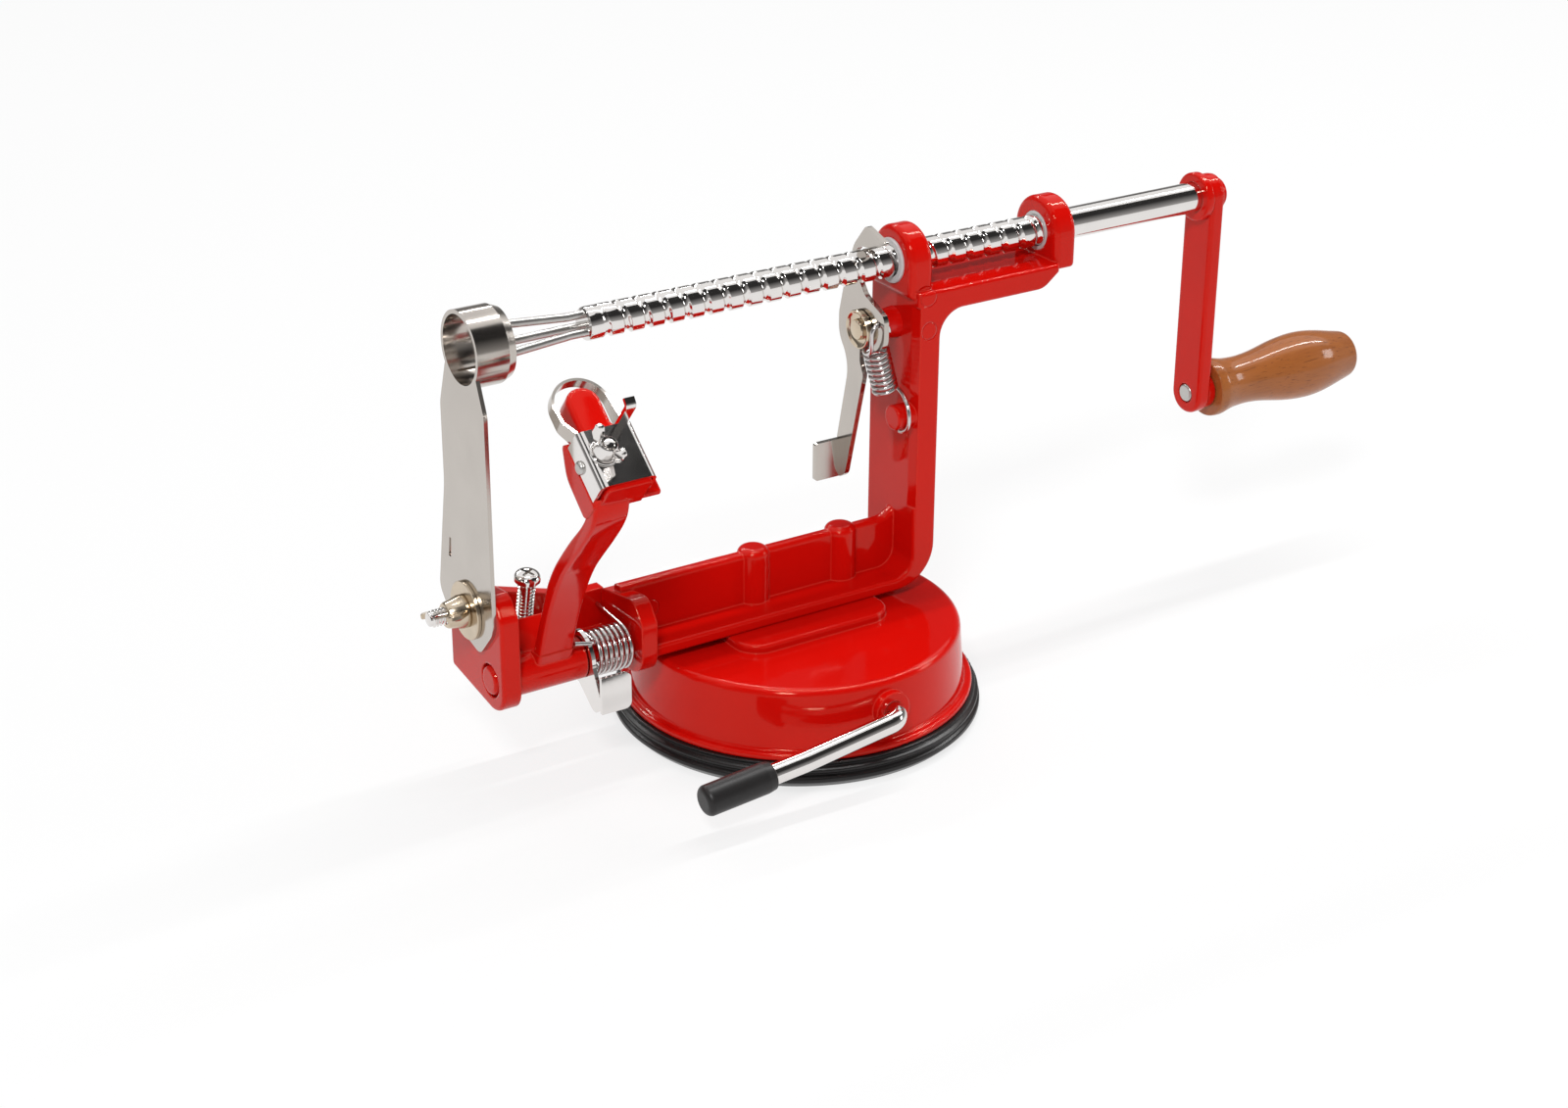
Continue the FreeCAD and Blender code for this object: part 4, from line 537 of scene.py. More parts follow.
def varnished_wood(look, name):
    """Reddish brown wood under clear varnish, with its grain along the handle."""
    finish = Finish(name)
    drift = finish.noise(30.0, 2.0)
    long_place = finish.stretched(14.0, 150.0, 150.0)
    grain = finish.noise(1.0, 4.0, 0.6, 0.6, place=long_place)
    fibre = finish.noise(1.0, 3.0, 0.7, place=finish.stretched(60.0, 1500.0, 1500.0))
    pores = finish.noise(1.0, 1.0, place=finish.stretched(130.0, 2600.0, 2600.0))
    pore = finish.band(pores, 0.64, 0.7)
    tone = finish.node(
        "ShaderNodeValToRGB",
        {
            "stops": [
                (0.28, look.dark_colour[:]),
                (0.5, tint(look.light_colour, 0.8)),
                (0.72, look.light_colour[:]),
            ]
        },
        {0: grain * 0.5 + fibre * 0.2 + drift * 0.3},
    )
    colour = finish.mix(pore * 0.55, tone, tint(look.dark_colour, 0.55))
    height = finish.noise(90.0, 1.0) * look.varnish_wave - pore * look.pore_depth
    return finish.surface(
        Base_Color=colour,
        Roughness=grain * 0.12 + 0.4,
        Specular_IOR_Level=0.1,
        Coat_Weight=0.6,
        Coat_Roughness=0.1,
        Normal=finish.bump(height, 1.0),
    )


class Turning:
    """Round mesh about an axis, grown ring by ring from its first end."""

    def __init__(self, base, axis, sides):
        self.base = Vector(base)
        self.axis = Vector(axis).normalized()
        self.across = self.axis.orthogonal().normalized()
        self.up = self.axis.cross(self.across)
        self.sides = sides
        self.rings = []

    def point(self, side, along, radius):
        angle = 2 * math.pi * side / self.sides
        out = self.across * math.cos(angle) + self.up * math.sin(angle)
        return self.base + self.axis * along + out * radius

    def steps(self, *places):
        """Add plain rings at (along, radius) places."""
        for along, radius in places:
            self.rings.append([self.point(i, along, radius) for i in range(self.sides + 1)])

    def thread(self, start, end, pitch, profile, rest, runout):
        """Add a right-handed thread of (share of the pitch, radius) points that fades at its ends."""
        turns = math.ceil((end - start) / pitch) + 1
        for turn in range(-1, turns):
            for share, radius in profile:
                row = []
                for side in range(self.sides + 1):
                    along = start + pitch * (turn + share + side / self.sides)
                    along = min(max(along, start), end)
                    fade = min(1.0, (along - start) / runout, (end - along) / runout)
                    row.append(self.point(side, along, rest + (radius - rest) * fade))
                self.rings.append(row)

    def mesh(self, name):
        """Skin the rings and give a smooth object."""
        shape = bmesh.new()
        rows = [[shape.verts.new(p) for p in row] for row in self.rings]
        for low, high in zip(rows, rows[1:]):
            for i in range(self.sides):
                shape.faces.new((low[i], low[i + 1], high[i + 1], high[i]))
        bmesh.ops.remove_doubles(shape, verts=shape.verts, dist=SAME_POINT)
        bmesh.ops.dissolve_degenerate(shape, edges=shape.edges, dist=SAME_POINT / 10)
        bmesh.ops.recalc_face_normals(shape, faces=shape.faces)
        return new_piece(name, shape)


def copied(node):
    """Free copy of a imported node's mesh, for a piece that takes another form."""
    shape = bmesh.new()
    shape.from_mesh(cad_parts[node].data)
    bmesh.ops.remove_doubles(shape, verts=shape.verts, dist=SAME_POINT)
    return shape


def new_piece(name, shape):
    """Turn a bmesh into a shaded object in the scene."""
    data = bpy.data.meshes.new(name)
    shape.to_mesh(data)
    shape.free()
    held = data.attributes.get("custom_normal")
    if held:
        data.attributes.remove(held)
    data.shade_smooth()
    data.set_sharp_from_angle(angle=CRISP_ANGLE)
    piece = bpy.data.objects.new(name, data)
    bpy.context.scene.collection.objects.link(piece)
    return piece


def box_shape(shape, frame_matrix, low, high):
    """Add a box between two corners, given in a local frame."""
    corners = [
        frame_matrix @ Vector((x, y, z))
        for x in (low[0], high[0])
        for y in (low[1], high[1])
        for z in (low[2], high[2])
    ]
    verts = [shape.verts.new(c) for c in corners]
    for face in ((0, 1, 3, 2), (4, 6, 7, 5), (0, 4, 5, 1), (2, 3, 7, 6), (0, 2, 6, 4), (1, 5, 7, 3)):
        shape.faces.new([verts[i] for i in face])


def combine(piece, other, operation):
    """Join another closed piece to a piece, or cut it out, and drop the other."""
    change = piece.modifiers.new("change", "BOOLEAN")
    change.operation = operation
    change.solver = "EXACT"
    change.object = other
    bpy.context.view_layer.update()
    graph = bpy.context.evaluated_depsgraph_get()
    changed = bpy.data.meshes.new_from_object(piece.evaluated_get(graph))
    shape = bmesh.new()
    shape.from_mesh(changed)
    bmesh.ops.dissolve_degenerate(shape, edges=shape.edges, dist=SAME_POINT)
    shape.to_mesh(changed)
    shape.free()
    piece.modifiers.clear()
    piece.data = changed
    changed.shade_smooth()
    changed.set_sharp_from_angle(angle=CRISP_ANGLE)
    bpy.data.objects.remove(other)


def wrap(shape, rows):
    """Add the faces between rows of points that run round a shape."""
    count = len(rows[0])
    for low, high in zip(rows, rows[1:]):
        for i in range(count):
            after = (i + 1) % count
            shape.faces.new((low[i], low[after], high[after], high[i]))


def skin(shape, rows):
    """Close a solid over rows of points that run round it."""
    wrap(shape, rows)
    shape.faces.new(rows[0])
    shape.faces.new(rows[-1])
    bmesh.ops.recalc_face_normals(shape, faces=shape.faces)


def prism(name, sides, outline):
    """Solid between two x places over an outline of (y, z) points, all in millimetres."""
    shape = bmesh.new()
    skin(shape, [[shape.verts.new(Vector((x, y, z)) * MM) for y, z in outline] for x in sides])
    return new_piece(name, shape)


def dress(nodes, finish):
    """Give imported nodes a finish."""
    for node in nodes:
        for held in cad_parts[node].material_slots:
            held.material = finish.holder


def settle(piece, body, node, finish):
    """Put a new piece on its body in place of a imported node."""
    piece.data.materials.clear()
    piece.data.materials.append(finish.holder)
    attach(piece, body)
    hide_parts(node)


def smooth_profile(points, count):
    """Curve through (along, radius) points, with count steps between neighbours."""
    result = [points[0]]
    for i in range(len(points) - 1):
        before = points[max(0, i - 1)]
        start, end = points[i], points[i + 1]
        after = points[min(len(points) - 1, i + 2)]
        for step in range(1, count + 1):
            t = step / count
            place = []
            for a, b, c, d in zip(before, start, end, after):
                curve = 2 * b + (c - a) * t
                curve += (2 * a - 5 * b + 4 * c - d) * t**2 + (3 * b - a - 3 * c + d) * t**3
                place.append(curve / 2)
            result.append(tuple(place))
    return result


def rounded(corners, steps=6):
    """Outline of (u, v, radius) corners, each turned into an arc of its radius."""
    outline = []
    for i, (u, v, radius) in enumerate(corners):
        here = Vector((u, v))
        back = (Vector(corners[i - 1][:2]) - here).normalized()
        ahead = (Vector(corners[(i + 1) % len(corners)][:2]) - here).normalized()
        if radius == 0:
            outline.append(here)
            continue
        half = back.angle(ahead) / 2
        centre = here + (back + ahead).normalized() * (radius / math.sin(half))
        first = here + back * (radius / math.tan(half)) - centre
        last = here + ahead * (radius / math.tan(half)) - centre
        for step in range(steps + 1):
            outline.append(centre + first.slerp(last, step / steps))
    return outline


def add_plate(shape, outline, place, thick, chamfer):
    """Add a plate with chamfered edges; place turns (u, v, height) into a point."""
    count = len(outline)
    inner = []
    for i, here in enumerate(outline):
        run = (outline[(i + 1) % count] - outline[i - 1]).normalized()
        inner.append(here + Vector((-run.y, run.x)) * chamfer)
    rows = []
    for ring, height in ((inner, 0.0), (outline, chamfer), (outline, thick - chamfer), (inner, thick)):
        rows.append([shape.verts.new(place(point.x, point.y, height)) for point in ring])
    skin(shape, rows)


def vee(crest, root):
    """Profile of a small fastener thread."""
    return ((0.0, root), (0.14, root), (0.42, crest), (0.58, crest), (0.86, root))


def colour_property(name, description, default):
    """Colour that a user may change."""
    return FloatVectorProperty(name=name, description=description, default=default, subtype="COLOR")


def number_property(name, description, default, unit="NONE", subtype="NONE"):
    """Number that a user may change."""
    return FloatProperty(name=name, description=description, default=default, unit=unit, subtype=subtype)


def length_property(name, description, default):
    """Length that a user may change."""
    return number_property(name, description, default, unit="LENGTH")


class ShaftSizes(bpy.types.PropertyGroup):
    """Thread of the crank shaft."""

    pitch: length_property("Pitch", "Advance of the shaft per turn", 6.35 * MM)
    land: number_property("Land", "Share of the pitch at full radius", 0.62)
    depth: length_property("Groove depth", "Depth of the round groove", 0.85 * MM)
    sides: IntProperty(name="Sides", description="Facets round the shaft", default=72)


class EnamelLook(bpy.types.PropertyGroup):
    """Red stove enamel of the castings."""

    colour: colour_property("Colour", "Enamel colour", (0.58, 0.004, 0.002))
    # Lighter colour on edges: thinner enamel, and a painted highlight
    edge_thinning_and_highlight_colour: colour_property("Edge colour", "Enamel where it thins over edges", (0.85, 0.06, 0.04))
    gloss_roughness: number_property("Gloss roughness", "Least roughness of the enamel", 0.05)
    gloss_level: number_property("Gloss", "Strength of the enamel's reflections", 0.26)
    gloss_tint: colour_property("Gloss tint", "Warmth of the enamel's reflections", (1.0, 0.8, 0.58))
    edge_radius: length_property("Edge radius", "Round of the paint on sharp edges", 0.8 * MM)
    wave_height: length_property("Wave height", "Height of the slow waves", 0.08 * MM)
    ripple_height: length_property("Ripple height", "Height of the fine ripple", 0.008 * MM)
    mark_depth: length_property("Mark depth", "Depth of the round marks", 0.2 * MM)


class MetalLook(bpy.types.PropertyGroup):
    """Plated and plain metals."""

    plate_colour: colour_property("Plating", "Colour of bright plating", (0.77, 0.745, 0.725))
    plate_roughness: number_property("Plating roughness", "Least roughness of the plating", 0.05)
    plate_wave: length_property("Plating wave", "Depth of the plating's waves", 0.012 * MM)
    sheet_colour: colour_property("Sheet steel", "Colour of the blades", (0.52, 0.48, 0.44))
    sheet_roughness: number_property("Sheet roughness", "Least roughness of the blades", 0.1)
    sheet_bend: length_property("Sheet bend", "Height of the blades' slow bends", 0.35 * MM)
    streak_depth: length_property("Streak depth", "Depth of the fine streaks", 0.0012 * MM)
    wire_colour: colour_property("Wire", "Colour of the spring wire", (0.64, 0.61, 0.6))
    cup_colour: colour_property("Cup washer", "Colour of the pawl's cup washer", (0.6, 0.5, 0.38))
    steel_colour: colour_property("Steel", "Colour of plain steel", (0.55, 0.54, 0.52))


class SoftLook(bpy.types.PropertyGroup):
    """Rubber, vinyl and plastic."""

    rubber_colour: colour_property("Rubber", "Colour of the suction pad", (0.008, 0.007, 0.007))
    vinyl_colour: colour_property("Vinyl", "Colour of the lever's cap", (0.012, 0.011, 0.011))
    bush_colour: colour_property("Bush", "Colour of the bearing bushes", (0.56, 0.55, 0.55))
    skin_depth: length_property("Skin depth", "Depth of the moulded skin", 0.01 * MM)


class WoodLook(bpy.types.PropertyGroup):
    """Varnished handle."""

    light_colour: colour_property("Light wood", "Colour of the early wood", (0.4, 0.125, 0.028))
    dark_colour: colour_property("Dark wood", "Colour of the late wood", (0.2, 0.05, 0.012))
    varnish_wave: length_property("Varnish wave", "Height of the varnish's waves", 0.05 * MM)
    pore_depth: length_property("Pore depth", "Depth of the pores", 0.03 * MM)


class StudioSizes(bpy.types.PropertyGroup):
    """Lamps and floor."""

    key_power: number_property("Key lamp", "Power of the key lamp", 12.0, unit="POWER")
    strip_power: number_property("Strip lamp", "Power of the long lamp overhead", 12.0, unit="POWER")
    rear_power: number_property("Rear lamp", "Power of the long lamp behind", 4.0, unit="POWER")
    side_power: number_property("Side lamp", "Power of the side lamp", 2.0, unit="POWER")
    screen_radius: length_property("Screen radius", "Radius of the dark dome", 1.9)
    screen_rise: number_property(
        "Screen rise", "Least angle of the dome's top", math.radians(31), subtype="ANGLE"
    )
    screen_lift: number_property(
        "Screen lift", "How much higher it is by the camera", math.radians(34), subtype="ANGLE"
    )
    screen_top: number_property("Screen top", "Glow of the dark screen's top", 0.03)
    screen_foot: number_property("Screen foot", "Glow of the dark screen's foot", 0.4)
    sky: number_property("Sky", "Plain light from all round", 0.36)
    floor_colour: colour_property("Floor", "Colour of the floor", (0.8, 0.8, 0.8))


class PeelerSettings(bpy.types.PropertyGroup):
    """All sizes and colours of the peeler's looks."""

    shaft: PointerProperty(type=ShaftSizes)
    enamel: PointerProperty(type=EnamelLook)
    metal: PointerProperty(type=MetalLook)
    soft: PointerProperty(type=SoftLook)
    wood: PointerProperty(type=WoodLook)
    studio: PointerProperty(type=StudioSizes)


class PEELER_OT_castings(bpy.types.Operator):
    """Enamel the frame, the cup, the arm and the crank"""

    bl_idname = "peeler.castings"
    bl_label = "Castings"

    def execute(self, context):
        look = context.scene.peeler.enamel
        dress(["frame_casting"], enamel(look, "frame_enamel", EJECTOR_MARKS))
        plain = enamel(look, "red_enamel")
        dress(["base_cup", "crank_arm", "crank_collar", "crank_screw", "pivot_pin"], plain)
        settle(self.bent_arm(), "arm", "peeling_arm", plain)
        return {"FINISHED"}

    @staticmethod
    def bent_arm():
        """Copy of the arm with its straight bar taken out and one that bends over to the head put in."""
        arm = new_piece("bent_arm", copied("peeling_arm"))
        combine(arm, prism("bar_cutter", OLD_BAR_SIDES, OLD_BAR), "DIFFERENCE")
        bar = bmesh.new()
        left, right = BAR_SIDES
        rows = []
        for height, front, back in smooth_profile(BAR_SECTIONS, 5):
            corners = ((left, front), (right, front), (right, back), (left, back))
            outline = rounded([(*corner, BAR_ROUND) for corner in corners])
            rows.append([bar.verts.new(Vector((point.x, point.y, height)) * MM) for point in outline])
        skin(bar, rows)
        combine(arm, new_piece("arm_bar", bar), "UNION")
        return arm


class PEELER_OT_soft_parts(bpy.types.Operator):
    """Finish the rubber pad, the lever's cap and the bushes"""

    bl_idname = "peeler.soft_parts"
    bl_label = "Pad, cap and bushes"

    def execute(self, context):
        look = context.scene.peeler.soft
        dress(["suction_pad"], rubber(look, "pad_rubber", look.rubber_colour, 0.2, 0.02 * MM))
        dress(["lever_cap"], rubber(look, "cap_vinyl", look.vinyl_colour, 0.3, 0.12 * MM))
        dress(["front_bush", "rear_bush"], bearing_plastic(look, "bush_plastic"))
        return {"FINISHED"}


class PEELER_OT_plated_parts(bpy.types.Operator):
    """Plate the lever, the blade holder, the latch and the small hardware"""

    bl_idname = "peeler.plated_parts"
    bl_label = "Plated parts"

    def execute(self, context):
        look = context.scene.peeler.metal
        bright = plating(look, "bright_plating")
        dress(["lever_rod", "blade_holder", "arm_latch"], bright)
        dress(["holder_washer"], bright)
        dress(["slicer_washer"], plain_steel(look, "tan_plating", look.cup_colour, 0.14))
        return {"FINISHED"}


class PEELER_OT_steel_parts(bpy.types.Operator):
    """Finish the blades, the pawl, the fork and the hidden steel"""

    bl_idname = "peeler.steel_parts"
    bl_label = "Steel parts"

    def execute(self, context):
        look = context.scene.peeler.metal
        upright = (1500.0, 1500.0, 60.0)
        blades = polished_sheet(look, "blade_steel", upright)
        dress(["slicer_blade", "pawl_lever", "peeling_blade"], blades)
        plain = plain_steel(look, "plain_steel", look.steel_colour, 0.26)
        dress(["fruit_fork", "pad_stud", "frame_screws", "handle_axle", "blade_rivets"], plain)
        return {"FINISHED"}


class PEELER_OT_springs(bpy.types.Operator):
    """Copy the springs in place with the spring wire finish, hiding the imported nodes"""

    bl_idname = "peeler.springs"
    bl_label = "Springs"

    def execute(self, context):
        look = context.scene.peeler.metal
        wire = plain_steel(look, "spring_wire", look.wire_colour, 0.12)
        self.hook_up("arm_coil", "arm_spring", wire, "frame", "arm", ARM_COIL_START, ARM_COIL_END)
        self.hook_up("pawl_coil", "pawl_spring", wire, "frame", "pawl", PAWL_COIL_START, PAWL_COIL_END)
        return {"FINISHED"}

    @staticmethod
    def hook_up(name, node, finish, still, moving, start, end):
        """Free copy of a packed spring, left where it stands, with its finish, in place of the imported
        node.
        """
        piece = new_piece(name, copied(node))
        piece.data.materials.clear()
        piece.data.materials.append(finish.holder)
        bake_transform(piece)
        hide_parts(node)


class PEELER_OT_pawl_pivot(bpy.types.Operator):
    """Turn the pawl's screw with its dished cup washer and the boss behind it"""

    bl_idname = "peeler.pawl_pivot"
    bl_label = "Pawl pivot"

    def execute(self, context):
        screw = Turning(PAWL_PIVOT, (1, 0, 0), 64)
        screw.steps(*[(along * MM, radius * MM) for along, radius in PAWL_PIVOT_SHAPE])
        piece = screw.mesh("pawl_cup_screw")
        finish = pivot_hardware(context.scene.peeler, "pivot_hardware")
        settle(piece, "frame", "pawl_screw", finish)
        return {"FINISHED"}


class PEELER_OT_threaded_shaft(bpy.types.Operator):
    """Build the crank shaft with its rolled thread"""

    bl_idname = "peeler.threaded_shaft"
    bl_label = "Threaded shaft"

    def execute(self, context):
        settings = context.scene.peeler
        sizes = settings.shaft
        low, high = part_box("crank_shaft")
        radius = SHAFT_RADIUS
        shaft = Turning((low.x, SHAFT_Y, SHAFT_Z), (1, 0, 0), sizes.sides)
        start = THREAD_START - low.x
        end = THREAD_END - low.x
        length = high.x - low.x
        shoulder = length - TENON_LENGTH
        shaft.steps((0.0, 0.0), (0.0, radius - 0.8 * MM))
        shaft.steps((0.4 * MM, radius - 0.2 * MM), (1.0 * MM, radius))
        shaft.thread(start, end, sizes.pitch, self.groove(sizes, radius), radius, 3.0 * MM)
        shaft.steps((end + 0.1 * MM, radius), (shoulder, radius), (shoulder, TENON_RADIUS))
        shaft.steps((length, TENON_RADIUS), (length, 0.0))
        piece = shaft.mesh("threaded_shaft")
        finish = plating(settings.metal, "shaft_plating", 0.6)
        settle(piece, "crank", "crank_shaft", finish)
        return {"FINISHED"}

    @staticmethod
    def groove(sizes, radius):
        """Profile of one pitch: a land with crisp edges and a round groove."""
        lip = 0.1 * MM
        land = sizes.land
        profile = [(0.0, radius - lip), (0.025, radius), (land - 0.025, radius), (land, radius - lip)]
        count = 7
        for i in range(1, count):
            share = i / count
            depth = lip + (sizes.depth - lip) * math.sin(math.pi * share) ** 0.6
            profile.append((land + (1 - land) * share, radius - depth))
        return profile


class PEELER_OT_threaded_fasteners(bpy.types.Operator):
    """Build the stop screw and the studs of both wing nuts with their threads"""

    bl_idname = "peeler.threaded_fasteners"
    bl_label = "Threaded fasteners"

    def execute(self, context):
        finish = plating(context.scene.peeler.metal, "thread_plating")
        settle(self.stop_screw(), "arm", "stop_screw", finish)
        out = Vector((-1, 0, 0))
        slicer = self.stud("slicer_stud", SLICER_BASE, out, SLICER_DEPTH, SLICER_RISE, SLICER_RADIUS)
        settle(slicer, "frame", "slicer_bolt", finish)
        up = HOLDER_UP
        holder = self.stud("holder_stud", HOLDER_BASE, up, HOLDER_DEPTH, HOLDER_RISE, HOLDER_RADIUS)
        settle(holder, "arm", "holder_bolt", finish)
        return {"FINISHED"}

    @staticmethod
    def stud(name, base, axis, depth, rise, radius):
        """Stud threaded over its length, with a rounded end."""
        root = radius - STUD_THREAD_DEPTH
        bolt = Turning(base - axis * depth, axis, 48)
        length = depth + rise
        bolt.steps((0.0, 0.0), (0.0, root))
        bolt.thread(0.2 * MM, length - 0.5 * MM, STUD_PITCH, vee(radius, root), root, THREAD_FADE)
        bolt.steps((length - 0.2 * MM, root - 0.1 * MM), (length, root - 0.5 * MM), (length, 0.0))
        return bolt.mesh(name)

    @staticmethod
    def stop_screw():
        """Pan head screw with a cross recess."""
        root = STOP_ROOT
        screw = Turning(STOP_FOOT, STOP_UP, 64)
        length = STOP_LENGTH
        head = STOP_HEAD
        screw.steps((0.0, 0.0), (0.0, root - 0.3 * MM), (0.3 * MM, root))
        screw.thread(0.3 * MM, length - 0.2 * MM, STOP_PITCH, vee(STOP_RADIUS, root), root, THREAD_FADE)
        screw.steps((length, root), (length, head - 0.15 * MM), (length + 0.2 * MM, head))
        for turn in range(9):
            angle = math.pi / 2 * turn / 8
            rise = 1.0 * MM + STOP_DOME * math.sin(angle)
            screw.steps((length + rise, head * math.cos(angle) ** 0.7 if turn < 8 else 0.0))
        piece = screw.mesh("cross_head_screw")
        turn_to = STOP_UP.to_track_quat("Z", "Y").to_matrix().to_4x4()
        top = Matrix.Translation(STOP_FOOT + STOP_UP * (length + 1.3 * MM)) @ turn_to
        arm = 2.1 * MM
        wide = 0.42 * MM
        for spin in (0.0, math.pi / 2):
            cutter = bmesh.new()
            place = top @ Matrix.Rotation(spin + 0.5, 4, "Z")
            box_shape(cutter, place, (-arm, -wide, 0.0), (arm, wide, 3.0 * MM))
            combine(piece, new_piece("cross_cutter", cutter), "DIFFERENCE")
        return piece


class PEELER_OT_wing_nuts(bpy.types.Operator):
    """Build the two wing nuts"""

    bl_idname = "peeler.wing_nuts"
    bl_label = "Wing nuts"

    def execute(self, context):
        look = context.scene.peeler.metal
        out = Vector((-1, 0, 0))
        slicer = self.hub("slicer_nut", SLICER_NUT_SEAT, out, SLICER_RADIUS, SLICER_HUB)
        self.add_wings(slicer, SLICER_NUT_SEAT, out, SLICER_WING, SLICER_WINGS)
        tan = plain_steel(look, "tan_nut", look.cup_colour, 0.14)
        settle(slicer, "frame", "slicer_wing_nut", tan)
        seat = HOLDER_BASE + HOLDER_UP * HOLDER_WASHER
        holder = self.hub("holder_nut", seat, HOLDER_UP, HOLDER_RADIUS, HOLDER_HUB)
        self.add_wings(holder, seat, HOLDER_UP, HOLDER_WING, HOLDER_WINGS)
        settle(holder, "arm", "holder_wing_nut", plating(look, "nut_plating"))
        return {"FINISHED"}

    @staticmethod
    def hub(name, seat, along, bore, outer):
        """Tapered hub of a nut; its outer radius is in millimetres."""
        radius = outer * MM
        rise = 1.25 * radius
        hole = bore + 0.02 * MM
        body = Turning(seat, along, 48)
        body.steps((0.0, hole), (0.0, radius - 0.3 * MM), (0.3 * MM, radius), (0.28 * radius, radius))
        body.steps((rise * 0.6, radius * 0.86), (rise - 0.5 * MM, radius * 0.78))
        body.steps((rise - 0.1 * MM, radius * 0.72), (rise, radius * 0.68), (rise, hole), (0.0, hole))
        return body.mesh(name)

    @staticmethod
    def add_wings(piece, seat, along, wing, outline):
        """Add two rounded wings to a nut's hub."""
        side = along.cross(wing)
        shape = bmesh.new()
        shape.from_mesh(piece.data)
        for sign in (-1, 1):

            def place(u, v, height, sign=sign):
                off_middle = height - WING_THICKNESS / 2
                return seat + (wing * u * sign + along * v + side * off_middle) * MM

            add_plate(shape, rounded(outline), place, WING_THICKNESS, WING_CHAMFER)
        bmesh.ops.recalc_face_normals(shape, faces=shape.faces)
        shape.to_mesh(piece.data)
        shape.free()
        piece.data.set_sharp_from_angle(angle=CRISP_ANGLE)


class PEELER_OT_handle(bpy.types.Operator):
    """Turn the wooden handle and varnish it"""

    bl_idname = "peeler.handle"
    bl_label = "Handle"

    def execute(self, context):
        grip = Turning(HANDLE_START, (1, 0, 0), 96)
        grip.steps((HANDLE_BORE_DEPTH, 0.0), (HANDLE_BORE_DEPTH, HANDLE_BORE), (0.0, HANDLE_BORE))
        grip.steps(*smooth_profile([(along * MM, radius * MM) for along, radius in HANDLE_SHAPE], 4))
        grip.steps((HANDLE_SHAPE[-1][0] * MM, 0.0))
        piece = grip.mesh("turned_handle")
        finish = varnished_wood(context.scene.peeler.wood, "varnished_wood")
        settle(piece, "handle", "wooden_handle", finish)
        return {"FINISHED"}


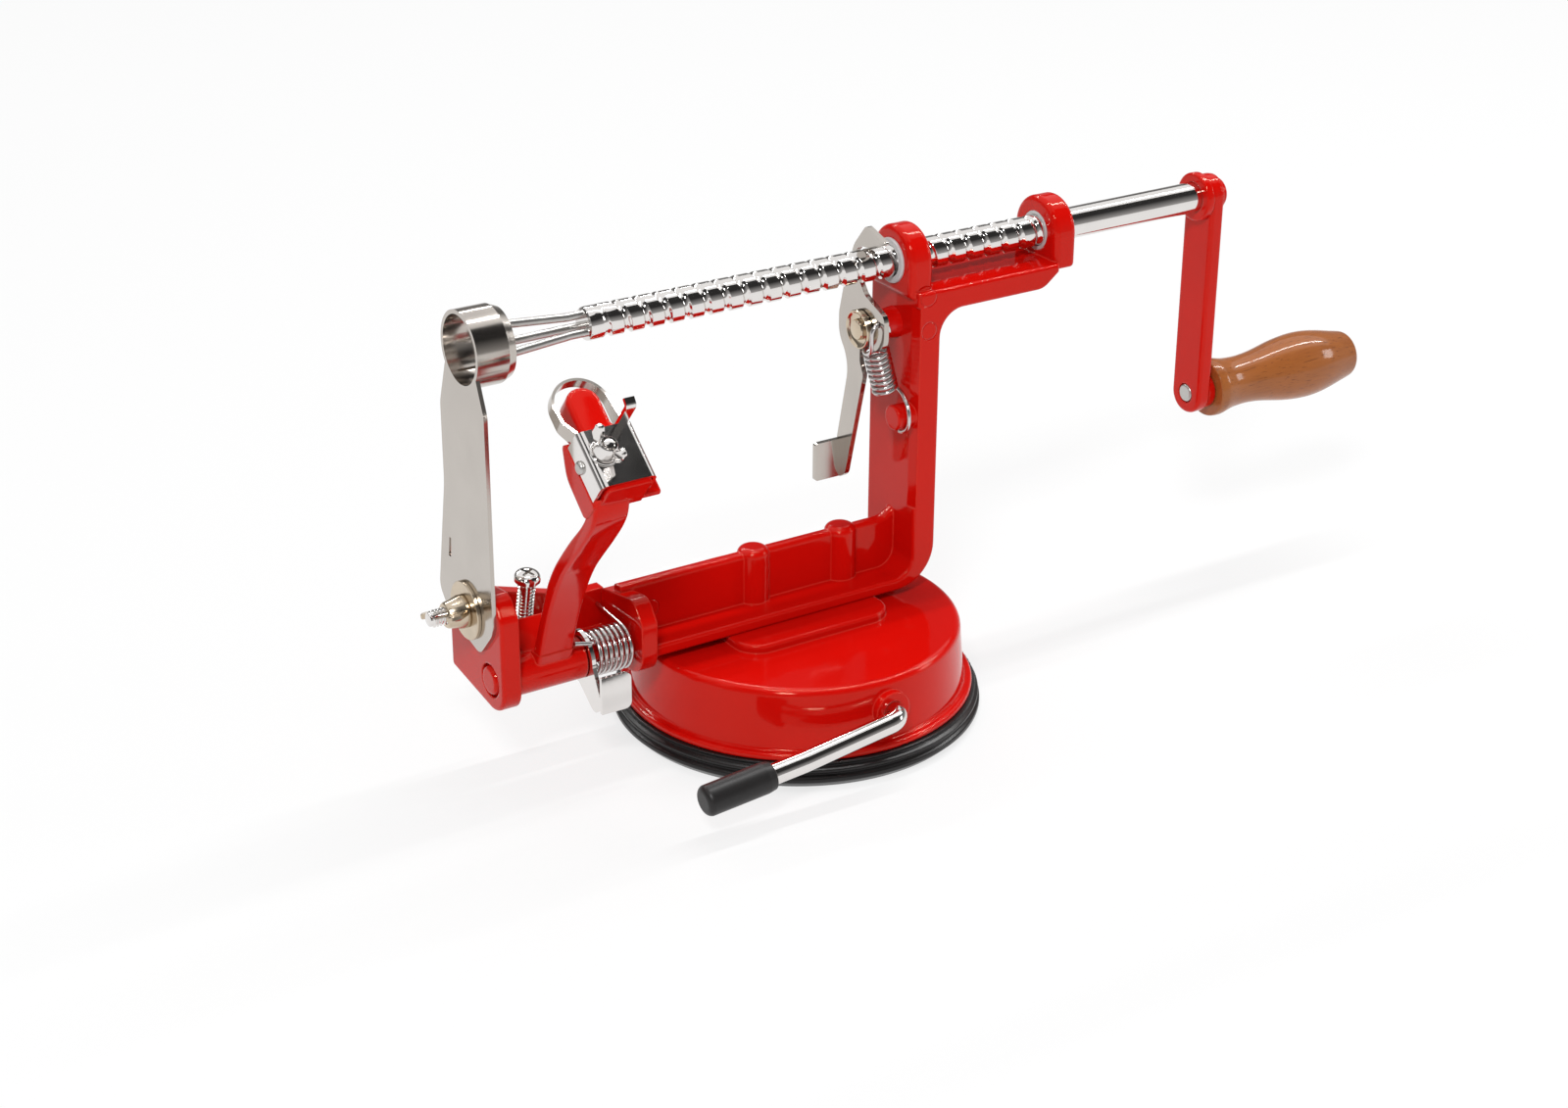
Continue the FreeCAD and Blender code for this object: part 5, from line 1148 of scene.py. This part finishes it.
class PEELER_OT_studio(bpy.types.Operator):
    """Set the floor, the lamps, the dark dome and the camera"""

    bl_idname = "peeler.studio"
    bl_label = "Studio"

    def execute(self, context):
        sizes = context.scene.peeler.studio
        self.lay_floor(sizes)
        self.hang_sky(context.scene, sizes)
        for name, (place, width, height) in LAMPS.items():
            power = getattr(sizes, f"{name}_power")
            self.hang_lamp(f"{name}_lamp", place, width, height, power)
        self.stand_screen(sizes)
        self.set_camera(context.scene)
        context.scene.view_settings.view_transform = "Standard"
        return {"FINISHED"}

    @staticmethod
    def seen_directly(finish):
        """1 for the rays of the camera, of gloss and of glass."""
        paths = finish.node("ShaderNodeLightPath").socket.node.outputs
        camera = Term(finish, paths["Is Camera Ray"])
        gloss = Term(finish, paths["Is Glossy Ray"])
        glass = Term(finish, paths["Is Transmission Ray"])
        return (camera + gloss + glass).at_most(1.0)

    def lay_floor(self, sizes):
        """Pale floor that keeps the object's shadow and is lifted to the backdrop's white."""
        shape = bmesh.new()
        bmesh.ops.create_grid(shape, x_segments=2, y_segments=2, size=FLOOR_REACH)
        floor = new_piece("floor", shape)
        floor.location.z = -FLOOR_DROP
        finish = Finish("floor_paper")
        grain = finish.noise(400.0, 3.0)
        tone = finish.mix(grain, tint(sizes.floor_colour, 0.98), tint(sizes.floor_colour, 1.02))
        paper = finish.node("ShaderNodeBsdfDiffuse", None, {"Color": tone})
        lift = finish.node("ShaderNodeEmission", None, {"Color": WHITE, "Strength": 1.0})
        length = {"operation": "LENGTH"}
        away = finish.node("ShaderNodeVectorMath", length, {0: finish.place}, output="Value")
        far = finish.band(away, FADE_START, FADE_END)
        share = self.seen_directly(finish) * (far * (1.0 - FLOOR_LIFT) + FLOOR_LIFT)
        finish.end_in(finish.node("ShaderNodeMixShader", None, {0: share, 1: paper, 2: lift}))
        floor.data.materials.append(finish.holder)

    def hang_sky(self, scene, sizes):
        """Even light all round, white where it is seen."""
        sky = Finish("studio_sky", bpy.data.worlds)
        scene.world = sky.holder
        glow = sky.mix(self.seen_directly(sky), tint(WHITE, sizes.sky), WHITE)
        light = sky.node("ShaderNodeBackground", None, {"Color": glow, "Strength": 1.0})
        sky.end_in(light, "ShaderNodeOutputWorld")

    @staticmethod
    def aim(lamp, place):
        """Stand a lamp at a place, facing the object and with its width along it."""
        back = (Vector(place) - LAMP_TARGET).normalized()
        side = (Vector((1, 0, 0)) - back * back.x).normalized()
        axes = Matrix((side, back.cross(side), back)).transposed()
        lamp.matrix_world = Matrix.Translation(place) @ axes.to_4x4()

    def hang_lamp(self, name, place, width, height, power):
        """Soft rectangular lamp."""
        data = bpy.data.lights.new(name, "AREA")
        data.shape = "RECTANGLE"
        data.size = width
        data.size_y = height
        data.energy = power
        lamp = bpy.data.objects.new(name, data)
        bpy.context.scene.collection.objects.link(lamp)
        self.aim(lamp, place)

    def stand_screen(self, sizes):
        """Dark dome that only reflections show, higher on the camera's side, for dark lines in metal."""
        shape = bmesh.new()
        rows = []
        for step in range(DOME_ROWS + 1):
            row = []
            for i in range(DOME_COLUMNS):
                turn = 2 * math.pi * i / DOME_COLUMNS
                top = sizes.screen_rise + sizes.screen_lift * self.beside_camera(math.degrees(turn))
                rise = DOME_FOOT + (top - DOME_FOOT) * step / DOME_ROWS
                level = math.cos(rise)
                out = Vector((math.cos(turn) * level, math.sin(turn) * level, math.sin(rise)))
                row.append(shape.verts.new(out * sizes.screen_radius))
            rows.append(row)
        wrap(shape, rows)
        screen = new_piece("dark_screen", shape)
        finish = Finish("dark_cloth")
        height = finish.axes()[2]
        foot = tint(CLOTH_TONE, sizes.screen_foot)
        top = tint(CLOTH_TONE, sizes.screen_top)
        glow = finish.mix(finish.band(height, *DOME_GLOW_HEIGHTS), foot, top)
        self.show_in_gloss_only(screen, finish, glow)

    @staticmethod
    def beside_camera(degrees):
        """1 over the camera's side of the dome, falling to 0 beyond it."""
        away = abs((degrees - HIGH_SIDE + 180.0) % 360.0 - 180.0)
        return min(1.0, max(0.0, (HIGH_SIDE_REACH - away) / HIGH_SIDE_FALL))

    @staticmethod
    def show_in_gloss_only(screen, finish, glow):
        """Let the screen glow, and let only reflections show it."""
        finish.end_in(finish.node("ShaderNodeEmission", None, {"Color": glow, "Strength": 1.0}))
        screen.data.materials.append(finish.holder)
        screen.visible_camera = False
        screen.visible_diffuse = False
        screen.visible_shadow = False
        screen.visible_transmission = False

    @staticmethod
    def set_camera(scene):
        """Stand the camera where the fitted view has it."""
        data = bpy.data.cameras.new("camera")
        data.lens = CAMERA_LENS
        data.sensor_width = SENSOR_WIDTH
        data.sensor_fit = "HORIZONTAL"
        data.clip_start = CLOSEST_VIEW
        data.clip_end = FURTHEST_VIEW
        level = math.cos(CAMERA_RISE)
        ahead = Vector(
            (-math.sin(CAMERA_TURN) * level, math.cos(CAMERA_TURN) * level, -math.sin(CAMERA_RISE))
        )
        right = ahead.cross(Vector((0, 0, 1))).normalized()
        up = right.cross(ahead)
        turned_right = right * math.cos(CAMERA_ROLL) + up * math.sin(CAMERA_ROLL)
        turned_up = up * math.cos(CAMERA_ROLL) - right * math.sin(CAMERA_ROLL)
        axes = Matrix((turned_right, turned_up, -ahead)).transposed()
        camera = bpy.data.objects.new("camera", data)
        camera.matrix_world = Matrix.Translation(CAMERA_PLACE) @ axes.to_4x4()
        scene.collection.objects.link(camera)
        scene.camera = camera


class PEELER_PT_looks(bpy.types.Panel):
    """Lists the peeler's operators and their settings"""

    bl_label = "Peeler looks"
    bl_space_type = "VIEW_3D"
    bl_region_type = "UI"
    bl_category = "Peeler"

    def draw(self, context):
        for operator in OPERATORS:
            self.layout.operator(operator.bl_idname)
        settings = context.scene.peeler
        for part in settings.__annotations__:
            group = getattr(settings, part)
            box = self.layout.box()
            for name in group.__annotations__:
                box.prop(group, name)


OPERATORS = (
    PEELER_OT_castings,
    PEELER_OT_soft_parts,
    PEELER_OT_plated_parts,
    PEELER_OT_steel_parts,
    PEELER_OT_springs,
    PEELER_OT_pawl_pivot,
    PEELER_OT_threaded_shaft,
    PEELER_OT_threaded_fasteners,
    PEELER_OT_wing_nuts,
    PEELER_OT_handle,
    PEELER_OT_studio,
)
GROUPS = (ShaftSizes, EnamelLook, MetalLook, SoftLook, WoodLook, StudioSizes, PeelerSettings)
CLASSES = (*GROUPS, *OPERATORS, PEELER_PT_looks)


def register():
    for cls in CLASSES:
        bpy.utils.register_class(cls)
    bpy.types.Scene.peeler = PointerProperty(type=PeelerSettings)


def unregister():
    del bpy.types.Scene.peeler
    for cls in reversed(CLASSES):
        bpy.utils.unregister_class(cls)


def main():
    """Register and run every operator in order."""
    register()
    for operator in OPERATORS:
        group, name = operator.bl_idname.split(".")
        getattr(getattr(bpy.ops, group), name)()


if __name__ == "__main__":
    main()
